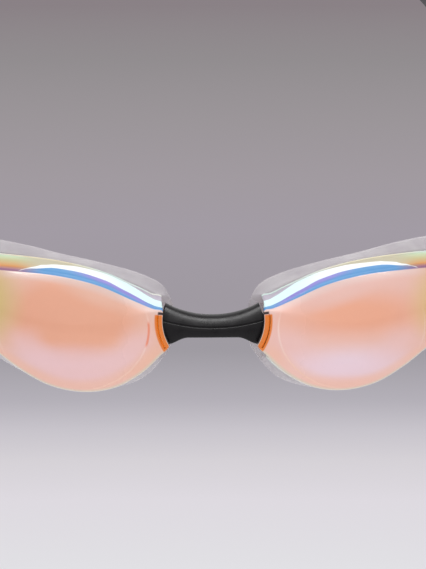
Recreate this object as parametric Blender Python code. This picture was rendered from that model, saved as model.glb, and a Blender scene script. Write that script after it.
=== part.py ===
# Swim goggles: two mirrored eyecups on a nose bridge, with clips, a split strap and a rear clasp.
# +X is the viewer's right, +Y runs from the lenses to the back of the head, +Z is up.
# The origin is where the goggles meet the face, between the eyecups and level with the bridge.
# Sizes are in millimetres here and are scaled to metres when a mesh is made.

from math import cos, pi, radians, sin, sqrt

import bmesh
import bpy
from mathutils import Matrix, Vector

MM = 0.001

# Driving dimensions
GAP = 0.3                    # left between pieces that touch
LENS_FRONT = -13.5           # the lens's nose end, in front of the face
LENS_WRAP = 14.0             # how far the outer end of the lens sweeps back
NOSE_END = 12.0              # half the distance between the lenses
CUP_LENGTH = 56.0
LENS_DOME = 3.2              # rise of the front face over its edge
LENS_WALL = 1.5
CUP_DEPTH = 7.0              # from the front edge to the back of the lens
BEVEL_TOP = 3.1              # how far the upper wall leans out
BEVEL_TEMPLE = 1.12          # and by how much more towards the temple
BEVEL_LEAST = 0.5
POCKET = 2.9                 # the nose wall stands back this far, to make room for the insert
RING_DEPTH = 1.5
RING_PROUD = 0.25
LIP_SWEEP = 17.0             # how far the seal's outer end sweeps back
LIP_LENGTH = 60.0
SEAL_WALL = 1.6
SEAL_LIP = 3.6               # how far the seal's lip turns in

END_RADIUS = 12.0            # the bridge ends on an arc, which the lens edges follow
END_CENTRE = 0.75
TONGUE = 0.45                # how far the bridge reaches behind the lens edge
BRIDGE_FRONT = LENS_FRONT + LENS_WALL + 0.5
BRIDGE_DEPTH = 5.2
INSERT_WIDTH = 1.4
INSERT_DEPTH = 4.0
INSERT_TOP = 8.0             # degrees round the arc
INSERT_BOTTOM = -31.0
HINGE = Vector((12.2, -9.0, -1.0))     # an eyecup flexes on the bridge about this upright line

PIVOT = Vector((75.5, 10.0, 8.0))      # middle of the strap clip's pin
PIN_RADIUS = 1.0
RUNNING = 0.12               # clearance of a pin in its bore
BARREL_RADIUS = 2.2
STRAP_RISE = radians(31.5)
CLIP_IN = 74.5
CLIP_OUT = 77.1
CLIP_LENGTH = 19.0
CLIP_HEIGHT = 19.0
SLOT_IN = 13.0
SLOT_OUT = 16.0
LEVER_AXIS = 6.3
LEVER_END = 12.9
LEVER_THICK = 1.6

EAR_HEIGHT = 6.4             # the clip's two ears reach this far above and below the pin's middle
EAR_INNER = 3.9
KNUCKLE_HEIGHT = 3.6         # the arm's knuckle turns between them
SLOT_MARGIN = 2.1            # left above and below the slot
LEVER_HALF = 4.5
LEVER_FLARE = 0.5

# The arm's lug, from the seal's seat to the pin: x, y, half its thickness and half its height.
ARM_STATIONS = (
    (70.9, 7.2, 0.9, 4.6),
    (72.6, 7.4, 1.1, 4.2),
    (74.2, 8.6, 1.2, 3.2),
    (75.3, 9.6, 1.2, 2.8),
)
ARM_SLANT = 0.6

YOKE_THICK = 1.8
YOKE_LENGTH = 24.0
YOKE_LEAN = 0.6
TAIL_LENGTH = 33.0
BAND_WIDTH = 6.4
BAND_THICK = 2.2
BAND_COUNT = 40
BAND_SPREAD = 8.6            # between the bands' middles where they leave the yoke
REAR_SPREAD = 21.0           # and at the clasp
BAND_EDGE = 0.6              # rounding of a band's edges
BAND_STOP = 3.5              # each side's bands end this far from the middle of the clasp

CLASP_HALF = 20.0
CLASP_THICK = 2.0
CLASP_MARGIN = 4.8
CLASP_BARREL = 2.0
CLASP_PIN = 0.9
CLASP_PIN_HALF = 12.0
CLASP_EAR = 8.0              # the base's ears start this far from the middle
CLASP_KNUCKLE = 7.7
BOSS_MARGIN = 3.0
BOSS_CLEAR = 3.9

# The right eyecup's outline from the upper corner by the nose over the brow, round the temple
# and back below the eye: x and z of the lens's front edge, then x and z of the seal's edge.
CUP_OUTLINE = (
    (12.9, 2.5, 10.3, 5.0),
    (15.0, 2.9, 12.2, 8.0),
    (20.0, 4.95, 17.2, 10.7),
    (28.5, 8.6, 26.5, 13.4),
    (38.0, 10.9, 37.5, 15.8),
    (48.0, 11.9, 48.5, 18.3),
    (57.5, 12.2, 59.0, 19.4),
    (64.5, 11.1, 67.3, 16.6),
    (68.0, 7.4, 71.0, 8.8),
    (67.0, 2.2, 70.0, 0.8),
    (62.5, -2.4, 64.5, -4.4),
    (55.5, -7.1, 56.5, -9.2),
    (48.5, -12.2, 48.6, -13.8),
    (41.0, -16.2, 41.0, -17.4),
    (32.5, -17.8, 32.0, -18.6),
    (24.5, -16.6, 23.2, -17.8),
    (18.0, -13.0, 16.6, -15.2),
    (13.7, -9.0, 12.3, -10.8),
    (11.25, -6.35, 10.0, -7.2),
    (12.25, -3.3, 9.2, -3.2),
    (12.75, -0.4, 9.2, 0.2),
    (12.7, 1.6, 9.6, 3.0),
)
POINTS_PER_SPAN = 3

# The strap's middle line on the right, seen from above: x and y, from the clip to the clasp.
HEAD_OUTLINE = (
    (73.0, 22.0),
    (76.2, 48.0),
    (78.0, 76.0),
    (77.8, 103.0),
    (73.4, 127.0),
    (63.0, 148.0),
    (48.0, 163.2),
    (32.0, 170.9),
    (21.0, 172.5),
    (0.0, 172.5),
)


def smooth(low, high, value):
    # 0 at low, 1 at high and beyond; low may be the larger
    t = min(max((value - low) / (high - low), 0.0), 1.0)
    return t * t * (3 - 2 * t)


def mix(a, b, t):
    return a + (b - a) * t


def splinePoint(a, b, c, d, t):
    # centripetal Catmull-Rom between b and c
    k1 = max(sqrt((b - a).length), 1e-6)
    k2 = k1 + max(sqrt((c - b).length), 1e-6)
    k3 = k2 + max(sqrt((d - c).length), 1e-6)
    s = mix(k1, k2, t)
    ab = a.lerp(b, s / k1)
    bc = b.lerp(c, (s - k1) / (k2 - k1))
    cd = c.lerp(d, (s - k2) / (k3 - k2))
    return ab.lerp(bc, s / k2).lerp(bc.lerp(cd, (s - k1) / (k3 - k1)), (s - k1) / (k2 - k1))


def closedCurve(rows, perSpan):
    # a smooth closed curve through rows, with the same number of points on every span
    points = [Vector(row) for row in rows]
    count = len(points)
    curve = []
    for i in range(count):
        four = [points[(i + k) % count] for k in (-1, 0, 1, 2)]
        curve += [splinePoint(*four, k / perSpan) for k in range(perSpan)]
    return curve


def openCurve(rows, count):
    # evenly spaced points on a smooth curve through rows
    points = [Vector(row) for row in rows]
    points = [2 * points[0] - points[1]] + points + [2 * points[-1] - points[-2]]
    fine = []
    for i in range(len(rows) - 1):
        fine += [splinePoint(*points[i:i + 4], k / 30) for k in range(30)]
    fine.append(points[-2])
    run = [0.0]
    for p, q in zip(fine, fine[1:]):
        run.append(run[-1] + (q - p).length)
    out = []
    j = 0
    for i in range(count):
        want = run[-1] * i / (count - 1)
        while j < len(run) - 2 and run[j + 1] < want:
            j += 1
        out.append(fine[j].lerp(fine[j + 1], (want - run[j]) / (run[j + 1] - run[j])))
    return out


def normals(points):
    # outward normals of a clockwise closed outline given as x, z
    out = []
    for i in range(len(points)):
        p, q = points[i - 1], points[(i + 1) % len(points)]
        out.append(Vector((p[1] - q[1], q[0] - p[0])).normalized())
    return out


# Materials and objects

def material(name, colour, roughness, metallic=0.0, alpha=1.0):
    found = bpy.data.materials.get(name)
    if found:
        return found
    made = bpy.data.materials.new(name)
    made.use_nodes = True
    shader = made.node_tree.nodes["Principled BSDF"]
    shader.inputs["Base Color"].default_value = (*colour, 1)
    shader.inputs["Roughness"].default_value = roughness
    shader.inputs["Metallic"].default_value = metallic
    shader.inputs["Alpha"].default_value = alpha
    return made


def blackPlastic():
    return material("black_plastic", (0.03, 0.028, 0.03), 0.42)


def orangePlastic():
    return material("orange_plastic", (0.8, 0.21, 0.03), 0.4)


def mirrorLens():
    return material("mirror_lens", (0.85, 0.42, 0.28), 0.08, 0.6)


def frostedSeal():
    return material("frosted_silicone", (0.75, 0.72, 0.73), 0.5, 0.0, 0.7)


def clearPlastic():
    return material("clear_plastic", (0.8, 0.78, 0.8), 0.15, 0.0, 0.6)


def strapSilicone():
    return material("strap_silicone", (0.045, 0.043, 0.046), 0.55)


def steel():
    return material("steel_pin", (0.6, 0.6, 0.62), 0.3, 1.0)


def addObject(name, bm, paint):
    # takes a mesh drawn in millimetres on the right-hand side
    bmesh.ops.scale(bm, verts=bm.verts, vec=(MM, MM, MM))
    bmesh.ops.recalc_face_normals(bm, faces=bm.faces)
    mesh = bpy.data.meshes.new(name)
    bm.to_mesh(mesh)
    bm.free()
    mesh.materials.append(paint)
    piece = bpy.data.objects.new(name, mesh)
    bpy.context.collection.objects.link(piece)
    return piece


def settle(piece, name, side=1, origin=None, holder=None):
    # names a piece, mirrors it for the left side, puts its origin in place and parents it
    origin = (origin if origin is not None else Vector()) * MM
    bm = bmesh.new()
    bm.from_mesh(piece.data)
    bmesh.ops.translate(bm, verts=bm.verts, vec=-origin)
    bmesh.ops.scale(bm, verts=bm.verts, vec=(side, 1, 1))
    bmesh.ops.recalc_face_normals(bm, faces=bm.faces)
    bm.to_mesh(piece.data)
    bm.free()
    piece.data.shade_smooth()
    piece.data.set_sharp_from_angle(angle=radians(35))
    piece.name = name
    piece.data.name = name
    piece.location = (side * origin.x, origin.y, origin.z)
    if holder:
        piece.parent = holder
        piece.location -= holder.location
    return piece


def addEmpty(name, place, side):
    empty = bpy.data.objects.new(name, None)
    empty.empty_display_size = 0.01
    empty.location = (side * place.x * MM, place.y * MM, place.z * MM)
    bpy.context.collection.objects.link(empty)
    return empty


def joinRings(bm, rings, closed=False):
    pairs = list(zip(rings, rings[1:]))
    if closed:
        pairs.append((rings[-1], rings[0]))
    for first, second in pairs:
        count = len(first)
        for i in range(count):
            j = (i + 1) % count
            bm.faces.new((first[i], first[j], second[j], second[i]))


def ringOf(bm, points):
    return [bm.verts.new(p) for p in points]


def fan(bm, ring, middle):
    tip = bm.verts.new(middle)
    for i in range(len(ring)):
        bm.faces.new((ring[i - 1], ring[i], tip))


def cap(bm, ring):
    bm.faces.new(ring)


def cut(piece, cutter, operation="DIFFERENCE"):
    # applies the Boolean and drops the cutter
    change = piece.modifiers.new(operation.lower(), "BOOLEAN")
    change.operation = operation
    change.solver = "EXACT"
    change.object = cutter
    bpy.context.view_layer.update()
    evaluated = piece.evaluated_get(bpy.context.evaluated_depsgraph_get())
    mesh = bpy.data.meshes.new_from_object(evaluated)
    piece.modifiers.remove(change)
    piece.data = mesh
    bpy.data.objects.remove(cutter)


def box(low, high):
    bm = bmesh.new()
    bmesh.ops.create_cube(bm, size=1.0)
    low, high = Vector(low), Vector(high)
    bmesh.ops.scale(bm, verts=bm.verts, vec=high - low)
    bmesh.ops.translate(bm, verts=bm.verts, vec=(low + high) / 2)
    return bm


def upright(radius, low, high, x, y, sides=20):
    # a vertical cylinder
    bm = bmesh.new()
    bmesh.ops.create_cone(
        bm, cap_ends=True, segments=sides, radius1=radius, radius2=radius, depth=high - low
    )
    bmesh.ops.translate(bm, verts=bm.verts, vec=(x, y, (low + high) / 2))
    return bm


# Eyecups

def lensDepth(x):
    # depth of the lens's front edge at a distance from the middle
    return LENS_FRONT + LENS_WRAP * (max(x - NOSE_END, 0.0) / CUP_LENGTH) ** 2


def sealDepth(x):
    return LIP_SWEEP * (max(x - NOSE_END, 0.0) / LIP_LENGTH) ** 2


class Cup:
    # the outlines that the lens, the ring and the seal share
    def __init__(self):
        rows = closedCurve(CUP_OUTLINE, POINTS_PER_SPAN)
        self.front = [Vector((r[0], r[1])) for r in rows]
        self.lip = [Vector((r[2], r[3])) for r in rows]
        self.out = normals(self.front)
        # 1 along the arc that faces the bridge, 0 elsewhere
        self.nose = [
            smooth(15.5, 13.0, p.x) * smooth(-9.6, -7.9, p.y) * smooth(2.6, 2.2, p.y)
            for p in self.front
        ]
        # how far the wall leans out: most at the top, and a little more towards the temple
        self.bevel = [
            self.lean(p.x, n.y) for p, n in zip(self.front, self.out)
        ]
        # the upper wall leans straight up beside the bridge
        self.push = [
            Vector((n.x * (mix(0.25, 1, smooth(13.5, 20, p.x)) if n.y > 0.3 else 1), n.y))
            for p, n in zip(self.front, self.out)
        ]
        self.middle = Vector((40.0, -1.5))

    def lean(self, across, up):
        most = BEVEL_TOP * mix(1, BEVEL_TEMPLE, smooth(35, 55, across))
        return mix(BEVEL_LEAST, most, smooth(0.15, 0.85, up))

    def offset(self, elsewhere, nose):
        # the front outline moved out by a share of the bevel; where it faces the bridge it moves
        # straight towards it by nose instead
        points = []
        for p, n, b, w in zip(self.front, self.push, self.bevel, self.nose):
            points.append(p + n * (elsewhere * b * (1 - w)) - Vector((nose * w, 0)))
        return points

    def inset(self, points, distance):
        # moved in towards the cup's middle, far enough to leave a wall of that thickness
        moved = []
        for p, n in zip(points, self.out):
            way = (self.middle - p).normalized()
            moved.append(p + way * (distance / max(-n.dot(way), 0.5)))
        return moved

    def rear(self):
        return self.offset(1.0, -POCKET)

    def faceRing(self, share, back):
        # a ring on the domed front face; share is 1 at its edge and 0 in its middle
        rise = LENS_DOME * (1 - share ** 2)
        ring = []
        for p in self.front:
            q = self.middle.lerp(p, share)
            ring.append(Vector((q.x, lensDepth(q.x) - rise + back, q.y)))
        return ring

    def wallRing(self, points, elsewhere, nose):
        ring = []
        for p, w in zip(points, self.nose):
            ring.append(Vector((p.x, lensDepth(p.x) + mix(elsewhere, nose, w), p.y)))
        return ring


def lensMesh(cup):
    bm = bmesh.new()
    rings = [cup.faceRing(s, 0) for s in (0.25, 0.5, 0.72, 0.88, 0.96)]
    rings.append(cup.wallRing(cup.front, 0.0, 0.0))
    rings.append(cup.wallRing(cup.offset(0.28, 0.15), 0.35, 0.4))
    rings.append(cup.wallRing(cup.offset(0.5, 0.1), 1.6, LENS_WALL))
    rings.append(cup.wallRing(cup.offset(0.85, -POCKET), 4.4, LENS_WALL + 0.4))
    rear = cup.rear()
    rings.append(cup.wallRing(rear, CUP_DEPTH, CUP_DEPTH))
    rings.append(cup.wallRing(cup.inset(rear, LENS_WALL), CUP_DEPTH, CUP_DEPTH))
    inner = cup.inset(cup.offset(0.7, -POCKET), LENS_WALL)
    rings.append(cup.wallRing(inner, 3.6, 3.6))
    rings.append(cup.wallRing(cup.inset(cup.offset(0.2, -POCKET), LENS_WALL + 0.6), 1.8, 1.8))
    rings += [cup.faceRing(s, LENS_WALL) for s in (0.7, 0.4)]
    made = [ringOf(bm, ring) for ring in rings]
    joinRings(bm, made)
    middle = Vector((cup.middle.x, lensDepth(cup.middle.x) - LENS_DOME, cup.middle.y))
    fan(bm, made[0], middle)
    fan(bm, made[-1], middle + Vector((0, LENS_WALL, 0)))
    return bm


def seatRingMesh(cup):
    bm = bmesh.new()
    rear = cup.rear()
    outer = [p + n * RING_PROUD for p, n in zip(rear, cup.out)]
    inner = cup.inset(rear, LENS_WALL)
    front = CUP_DEPTH + GAP
    back = front + RING_DEPTH
    rings = [
        cup.wallRing(inner, front, front),
        cup.wallRing(rear, front, front),
        cup.wallRing(outer, front + 0.4, front + 0.4),
        cup.wallRing(outer, back, back),
        cup.wallRing(inner, back, back),
    ]
    joinRings(bm, [ringOf(bm, ring) for ring in rings], closed=True)
    return bm


def gasketMesh(cup):
    bm = bmesh.new()
    rear = cup.rear()
    neck = [p + n * RING_PROUD / 2 for p, n in zip(rear, cup.out)]
    throat = cup.inset(rear, SEAL_WALL)
    front = CUP_DEPTH + RING_DEPTH + 2 * GAP

    def lipRing(inward, back, share=1.0):
        ring = []
        edge = [q.lerp(p, share) for p, q in zip(cup.lip, neck)]
        for p, q, r in zip(cup.lip, neck, cup.inset(edge, inward)):
            depth = mix(lensDepth(q.x) + front, sealDepth(p.x), share)
            ring.append(Vector((r.x, depth - back, r.y)))
        return ring

    rings = [
        cup.wallRing(throat, front, front),
        cup.wallRing(neck, front, front),
        lipRing(0.0, 1.2, 0.55),
        lipRing(0.0, 1.6),
        lipRing(0.3, 0.3),
        lipRing(1.4, 0.0),
        lipRing(SEAL_LIP, 0.7),
        lipRing(SEAL_LIP - 0.2, 1.9),
        lipRing(SEAL_WALL + 0.8, 2.3),
        lipRing(SEAL_WALL + 0.4, 1.4, 0.5),
    ]
    joinRings(bm, [ringOf(bm, ring) for ring in rings], closed=True)
    return bm


def insertMesh():
    # the strip at the end of the bridge: an arc beside the bridge's own, seen from the front
    bm = bmesh.new()
    inner = END_RADIUS + 0.9
    outer = inner + INSERT_WIDTH
    front = LENS_FRONT + LENS_WALL + 0.8
    back = front + INSERT_DEPTH
    steps = 12
    rings = []
    for i in range(steps + 1):
        angle = radians(mix(INSERT_TOP, INSERT_BOTTOM, i / steps))
        ring = []
        for r, y in ((inner, front), (outer, front), (outer, back), (inner, back)):
            ring.append(Vector((END_CENTRE + r * cos(angle), y, r * sin(angle))))
        rings.append(ringOf(bm, ring))
    joinRings(bm, rings)
    cap(bm, rings[0])
    cap(bm, rings[-1])
    return bm


# Nose bridge

def bridgeEnd(height):
    # half the bridge's length at a height: its tongue reaches behind the lens below the shoulder
    radius = mix(END_RADIUS + TONGUE, END_RADIUS - 0.4, smooth(1.2, 2.0, height))
    return END_CENTRE + sqrt(radius ** 2 - height ** 2)


def bridgeMesh():
    bm = bmesh.new()
    half = 16
    sections = []
    for i in range(-half, half + 1):
        share = i / half
        lean = share ** 2
        top = 1.25 + 2.85 * lean
        crease = -1.65 + 1.9 * lean
        low = -4.5 - 1.7 * smooth(0.5, 1.0, abs(share))
        front = BRIDGE_FRONT - 0.7 * (1 - lean)
        back = front + BRIDGE_DEPTH - 0.8 * (1 - lean)
        profile = (
            (front + 0.25, low + 0.1),
            (front, low + 0.6),
            (front, crease - 0.25),
            (front + 0.2, crease + 0.1),
            (front + 0.75, mix(crease, top, 0.45)),
            (front + 1.6, mix(crease, top, 0.85)),
            (front + 2.3, top - 0.05),
            (front + 2.9, top),
            (back - 0.6, top - 0.15),
            (back, top - 0.8),
            (back, low + 1.0),
            (back - 0.7, low + 0.15),
            (front + 1.2, low),
        )
        sections.append(ringOf(bm, [Vector((share * bridgeEnd(z), y, z)) for y, z in profile]))
    joinRings(bm, sections)
    cap(bm, sections[0])
    cap(bm, sections[-1])
    return bm


# Temple: arm, pin, clip and lever

def armMesh():
    # a lug that stands off the ring's outer end towards the pin
    bm = bmesh.new()
    rings = []
    for x, y, thick, tall in ARM_STATIONS:
        ring = []
        for d, z in ((-thick, -tall), (thick, -tall), (thick, tall), (-thick, tall)):
            ring.append(Vector((x - ARM_SLANT * d, y + d, PIVOT.z + z)))
        rings.append(ringOf(bm, ring))
    joinRings(bm, rings)
    cap(bm, rings[0])
    cap(bm, rings[-1])
    return bm


def pinBore(radius):
    return addObject("bore", upright(radius, PIVOT.z - 12, PIVOT.z + 12, PIVOT.x, PIVOT.y), steel())


def barrel(radius, low, high):
    return upright(radius, PIVOT.z + low, PIVOT.z + high, PIVOT.x, PIVOT.y)


def armPiece():
    arm = addObject("arm_plate", armMesh(), clearPlastic())
    knuckle = barrel(BARREL_RADIUS, -KNUCKLE_HEIGHT, KNUCKLE_HEIGHT)
    cut(arm, addObject("knuckle", knuckle, clearPlastic()), "UNION")
    cut(arm, pinBore(PIN_RADIUS + RUNNING))
    return arm


def strapLine(along, across):
    # y and z of a point along and across the strap where it leaves the clip
    c, k = cos(STRAP_RISE), sin(STRAP_RISE)
    return (PIVOT.y + along * c - across * k, PIVOT.z + along * k + across * c)


def slab(outline, low, high):
    # a side-view outline of y and z, given a thickness in x
    bm = bmesh.new()
    rings = [ringOf(bm, [Vector((x, y, z)) for y, z in outline]) for x in (low, high)]
    joinRings(bm, rings)
    cap(bm, rings[0])
    cap(bm, rings[1])
    return bm


def clipPiece():
    front = PIVOT.y + BARREL_RADIUS + 0.5
    half = CLIP_HEIGHT / 2
    outline = (
        (front, PIVOT.z + EAR_HEIGHT),
        strapLine(CLIP_LENGTH - 8, half),
        strapLine(CLIP_LENGTH, half),
        strapLine(CLIP_LENGTH, -half),
        strapLine(CLIP_LENGTH - 10, -half),
        (front, PIVOT.z - EAR_HEIGHT),
    )
    clip = addObject("clip_plate", slab(outline, CLIP_IN, CLIP_OUT), blackPlastic())
    wide = half - SLOT_MARGIN
    hole = [
        strapLine(SLOT_IN, -wide),
        strapLine(SLOT_OUT, -wide),
        strapLine(SLOT_OUT, wide),
        strapLine(SLOT_IN, wide),
    ]
    cut(clip, addObject("slot", slab(hole, CLIP_IN - 2, CLIP_OUT + 2), steel()))
    for low, high in ((EAR_INNER, EAR_HEIGHT), (-EAR_HEIGHT, -EAR_INNER)):
        cut(clip, addObject("ear", barrel(BARREL_RADIUS, low, high), blackPlastic()), "UNION")
        web = box(
            (CLIP_IN + 0.1, PIVOT.y + 0.4, PIVOT.z + low + 0.05),
            (CLIP_OUT - 0.1, front + 1.0, PIVOT.z + high - 0.05),
        )
        cut(clip, addObject("web", web, blackPlastic()), "UNION")
    cut(clip, pinBore(PIN_RADIUS + RUNNING))
    return clip


def leverPiece():
    start = LEVER_AXIS - 0.3
    wide = LEVER_HALF + LEVER_FLARE
    outline = [
        strapLine(start, -LEVER_HALF),
        strapLine(LEVER_END, -wide),
        strapLine(LEVER_END, wide),
        strapLine(start, LEVER_HALF),
    ]
    low = CLIP_OUT + GAP
    return addObject("lever_plate", slab(outline, low, low + LEVER_THICK), orangePlastic())


# Strap

def strapHeight(y):
    return PIVOT.z + (y - PIVOT.y) * sin(STRAP_RISE) / cos(STRAP_RISE)


REAR_HEIGHT = strapHeight(HEAD_OUTLINE[-1][1])
LOW_BAND = REAR_HEIGHT - BAND_SPREAD / 2
HIGH_BAND = LOW_BAND + REAR_SPREAD
REAR_DEPTH = HEAD_OUTLINE[-1][1]
BASE_FRONT = REAR_DEPTH - BAND_THICK / 2 - 0.5
BASE_BACK = BASE_FRONT - CLASP_THICK
COVER_IN = REAR_DEPTH + BAND_THICK / 2 + 0.5
CLASP_AXIS = Vector((0, REAR_DEPTH, HIGH_BAND + CLASP_MARGIN + 2.6))


def bandPath(upper):
    # points of a band's middle line, from the yoke to the clasp
    flat = openCurve(HEAD_OUTLINE, BAND_COUNT)
    points = []
    for i, p in enumerate(flat):
        rise = -BAND_SPREAD / 2
        if upper:
            spread = (REAR_SPREAD - BAND_SPREAD) * smooth(0.0, 1.0, i / (BAND_COUNT - 1))
            rise = BAND_SPREAD / 2 + spread
        points.append(Vector((p[0], p[1], strapHeight(p[1]) + rise)))
    return points


def ribbon(points, width, thick):
    # a band with rounded edges, flat against the head
    bm = bmesh.new()
    w, h = width / 2, thick / 2
    e = w - BAND_EDGE
    section = (
        (-h, -e), (-h, e), (-0.4 * h, w), (0.4 * h, w),
        (h, e), (h, -e), (0.4 * h, -w), (-0.4 * h, -w),
    )
    rings = []
    for i, p in enumerate(points):
        before = points[max(i - 1, 0)]
        after = points[min(i + 1, len(points) - 1)]
        along = (after - before).normalized()
        out = Vector((along.y, -along.x, 0)).normalized()
        up = out.cross(along).normalized()
        rings.append(ringOf(bm, [p + out * a + up * b for a, b in section]))
    joinRings(bm, rings)
    cap(bm, rings[0])
    cap(bm, rings[-1])
    return bm


def bandMesh(upper):
    # runs from the yoke's end face to just short of the other side's band
    points = bandPath(upper)
    start = YOKE_LENGTH + GAP

    def along(p):
        return (p.y - PIVOT.y) * cos(STRAP_RISE) + (p.z - PIVOT.z) * sin(STRAP_RISE)

    while along(points[1]) < start:
        points.pop(0)
    share = (start - along(points[0])) / (along(points[1]) - along(points[0]))
    points[0] = points[0].lerp(points[1], share)
    points = [p for p in points if p.x > BAND_STOP + 1]
    points.append(Vector((BAND_STOP, REAR_DEPTH, points[-1].z)))
    return ribbon(points, BAND_WIDTH, BAND_THICK)


def yokeMesh():
    # the strap's front end: it goes out through the clip's slot and back over the rear bar,
    # so its side view is a hook; behind the clip it splits into the two bands
    inner = CLIP_IN - GAP - YOKE_THICK
    outer = CLIP_OUT + GAP
    bend = SLOT_IN + 0.3
    hook = (
        (TAIL_LENGTH, outer + YOKE_THICK - 0.3),
        (bend + 1.0, outer + YOKE_THICK),
        (bend + 0.2, outer + YOKE_THICK - 0.6),
        (bend, outer + 0.6),
        (bend, CLIP_IN - 0.9),
        (bend + 0.2, inner + 0.6),
        (bend + 1.0, inner),
        (YOKE_LENGTH, inner + YOKE_LEAN),
        (YOKE_LENGTH, inner + YOKE_THICK + YOKE_LEAN),
        (SLOT_OUT + 0.6, CLIP_IN - GAP),
        (SLOT_OUT - GAP, CLIP_IN - GAP + 0.2),
        (SLOT_OUT - GAP, outer - 0.2),
        (SLOT_OUT + 0.6, outer),
        (TAIL_LENGTH, outer),
    )
    bm = bmesh.new()
    half = CLIP_HEIGHT / 2 - SLOT_MARGIN - GAP
    rings = []
    for across in (-half, half):
        ring = []
        for along, x in hook:
            y, z = strapLine(along, across)
            ring.append(Vector((x, y, z)))
        rings.append(ringOf(bm, ring))
    joinRings(bm, rings)
    cap(bm, rings[0])
    cap(bm, rings[1])
    return bm


# Rear clasp

def blackPlate(name, low, high):
    return addObject(name, box(low, high), blackPlastic())


def rod(radius, x0, x1):
    # a cylinder on the clasp's hinge line
    bm = bmesh.new()
    bmesh.ops.create_cone(
        bm, cap_ends=True, segments=16, radius1=radius, radius2=radius, depth=x1 - x0
    )
    bmesh.ops.rotate(bm, verts=bm.verts, matrix=Matrix.Rotation(pi / 2, 3, "Y"))
    bmesh.ops.translate(bm, verts=bm.verts, vec=((x0 + x1) / 2, CLASP_AXIS.y, CLASP_AXIS.z))
    return bm


def claspBore():
    return addObject("bore", rod(CLASP_PIN + RUNNING, -CLASP_HALF, CLASP_HALF), steel())


def claspBase():
    low, high = LOW_BAND - CLASP_MARGIN, HIGH_BAND + CLASP_MARGIN
    base = blackPlate("base", (-CLASP_HALF, BASE_BACK, low), (CLASP_HALF, BASE_FRONT, high))
    half = CLASP_HALF - BOSS_MARGIN
    boss = blackPlate(
        "boss",
        (-half, BASE_FRONT - 0.5, LOW_BAND + BOSS_CLEAR),
        (half, COVER_IN - 0.5, HIGH_BAND - BOSS_CLEAR),
    )
    cut(base, boss, "UNION")
    for x0, x1 in ((-CLASP_PIN_HALF, -CLASP_EAR), (CLASP_EAR, CLASP_PIN_HALF)):
        web = blackPlate(
            "web",
            (x0 + 0.05, BASE_BACK + 0.1, high - 1.0),
            (x1 - 0.05, CLASP_AXIS.y, CLASP_AXIS.z),
        )
        cut(base, web, "UNION")
        cut(base, addObject("ear", rod(CLASP_BARREL, x0, x1), blackPlastic()), "UNION")
    cut(base, claspBore())
    return base


def claspCover():
    low, high = LOW_BAND - CLASP_MARGIN, HIGH_BAND + CLASP_MARGIN - 0.4
    back = COVER_IN + CLASP_THICK
    cover = blackPlate("cover", (-CLASP_HALF, COVER_IN, low), (CLASP_HALF, back, high))
    half = CLASP_KNUCKLE - 0.1
    web = blackPlate(
        "web", (-half, CLASP_AXIS.y, high - 1.0), (half, back - 0.1, CLASP_AXIS.z)
    )
    cut(cover, web, "UNION")
    knuckle = rod(CLASP_BARREL, -CLASP_KNUCKLE, CLASP_KNUCKLE)
    cut(cover, addObject("knuckle", knuckle, blackPlastic()), "UNION")
    cut(cover, claspBore())
    return cover


# Assembly

def buildSide(name, side):
    cup = Cup()
    hinge = addEmpty(name + "_cup_hinge", HINGE, side)
    swivel = addEmpty(name + "_clip_swivel", PIVOT, side)

    cupPieces = (
        ("lens", addObject("lens", lensMesh(cup), mirrorLens())),
        ("seat_ring", addObject("seat_ring", seatRingMesh(cup), clearPlastic())),
        ("gasket", addObject("gasket", gasketMesh(cup), frostedSeal())),
        ("bridge_insert", addObject("insert", insertMesh(), orangePlastic())),
        ("temple_arm", armPiece()),
    )
    for label, piece in cupPieces:
        settle(piece, name + "_" + label, side, HINGE, hinge)

    strapPieces = (
        ("clip_pin", addObject("pin", barrel(PIN_RADIUS, -EAR_HEIGHT, EAR_HEIGHT), steel())),
        ("strap_clip", clipPiece()),
        ("strap_yoke", addObject("yoke", yokeMesh(), strapSilicone())),
        ("upper_band", addObject("band", bandMesh(True), strapSilicone())),
        ("lower_band", addObject("band", bandMesh(False), strapSilicone())),
    )
    for label, piece in strapPieces:
        settle(piece, name + "_" + label, side, PIVOT, swivel)

    y, z = strapLine(LEVER_AXIS, 0)
    leverAxis = Vector((CLIP_OUT + GAP + LEVER_THICK - 0.4, y, z))
    settle(leverPiece(), name + "_clip_lever", side, leverAxis, swivel)
    return swivel


def main():
    for old in list(bpy.context.scene.objects):
        bpy.data.objects.remove(old)

    settle(addObject("bridge", bridgeMesh(), blackPlastic()), "nose_bridge")
    buildSide("right", 1)
    swivel = buildSide("left", -1)

    settle(claspBase(), "clasp_base", 1, None, swivel)
    settle(claspCover(), "clasp_cover", 1, CLASP_AXIS, swivel)
    pin = addObject("pin", rod(CLASP_PIN, -CLASP_PIN_HALF, CLASP_PIN_HALF), steel())
    settle(pin, "clasp_pin", 1, CLASP_AXIS, swivel)


main()
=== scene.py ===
# Swim goggles: the looks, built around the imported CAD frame.
from math import cos, log, pi, radians, sin, sqrt

import bmesh
import bpy
from mathutils import Matrix, Vector


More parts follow.
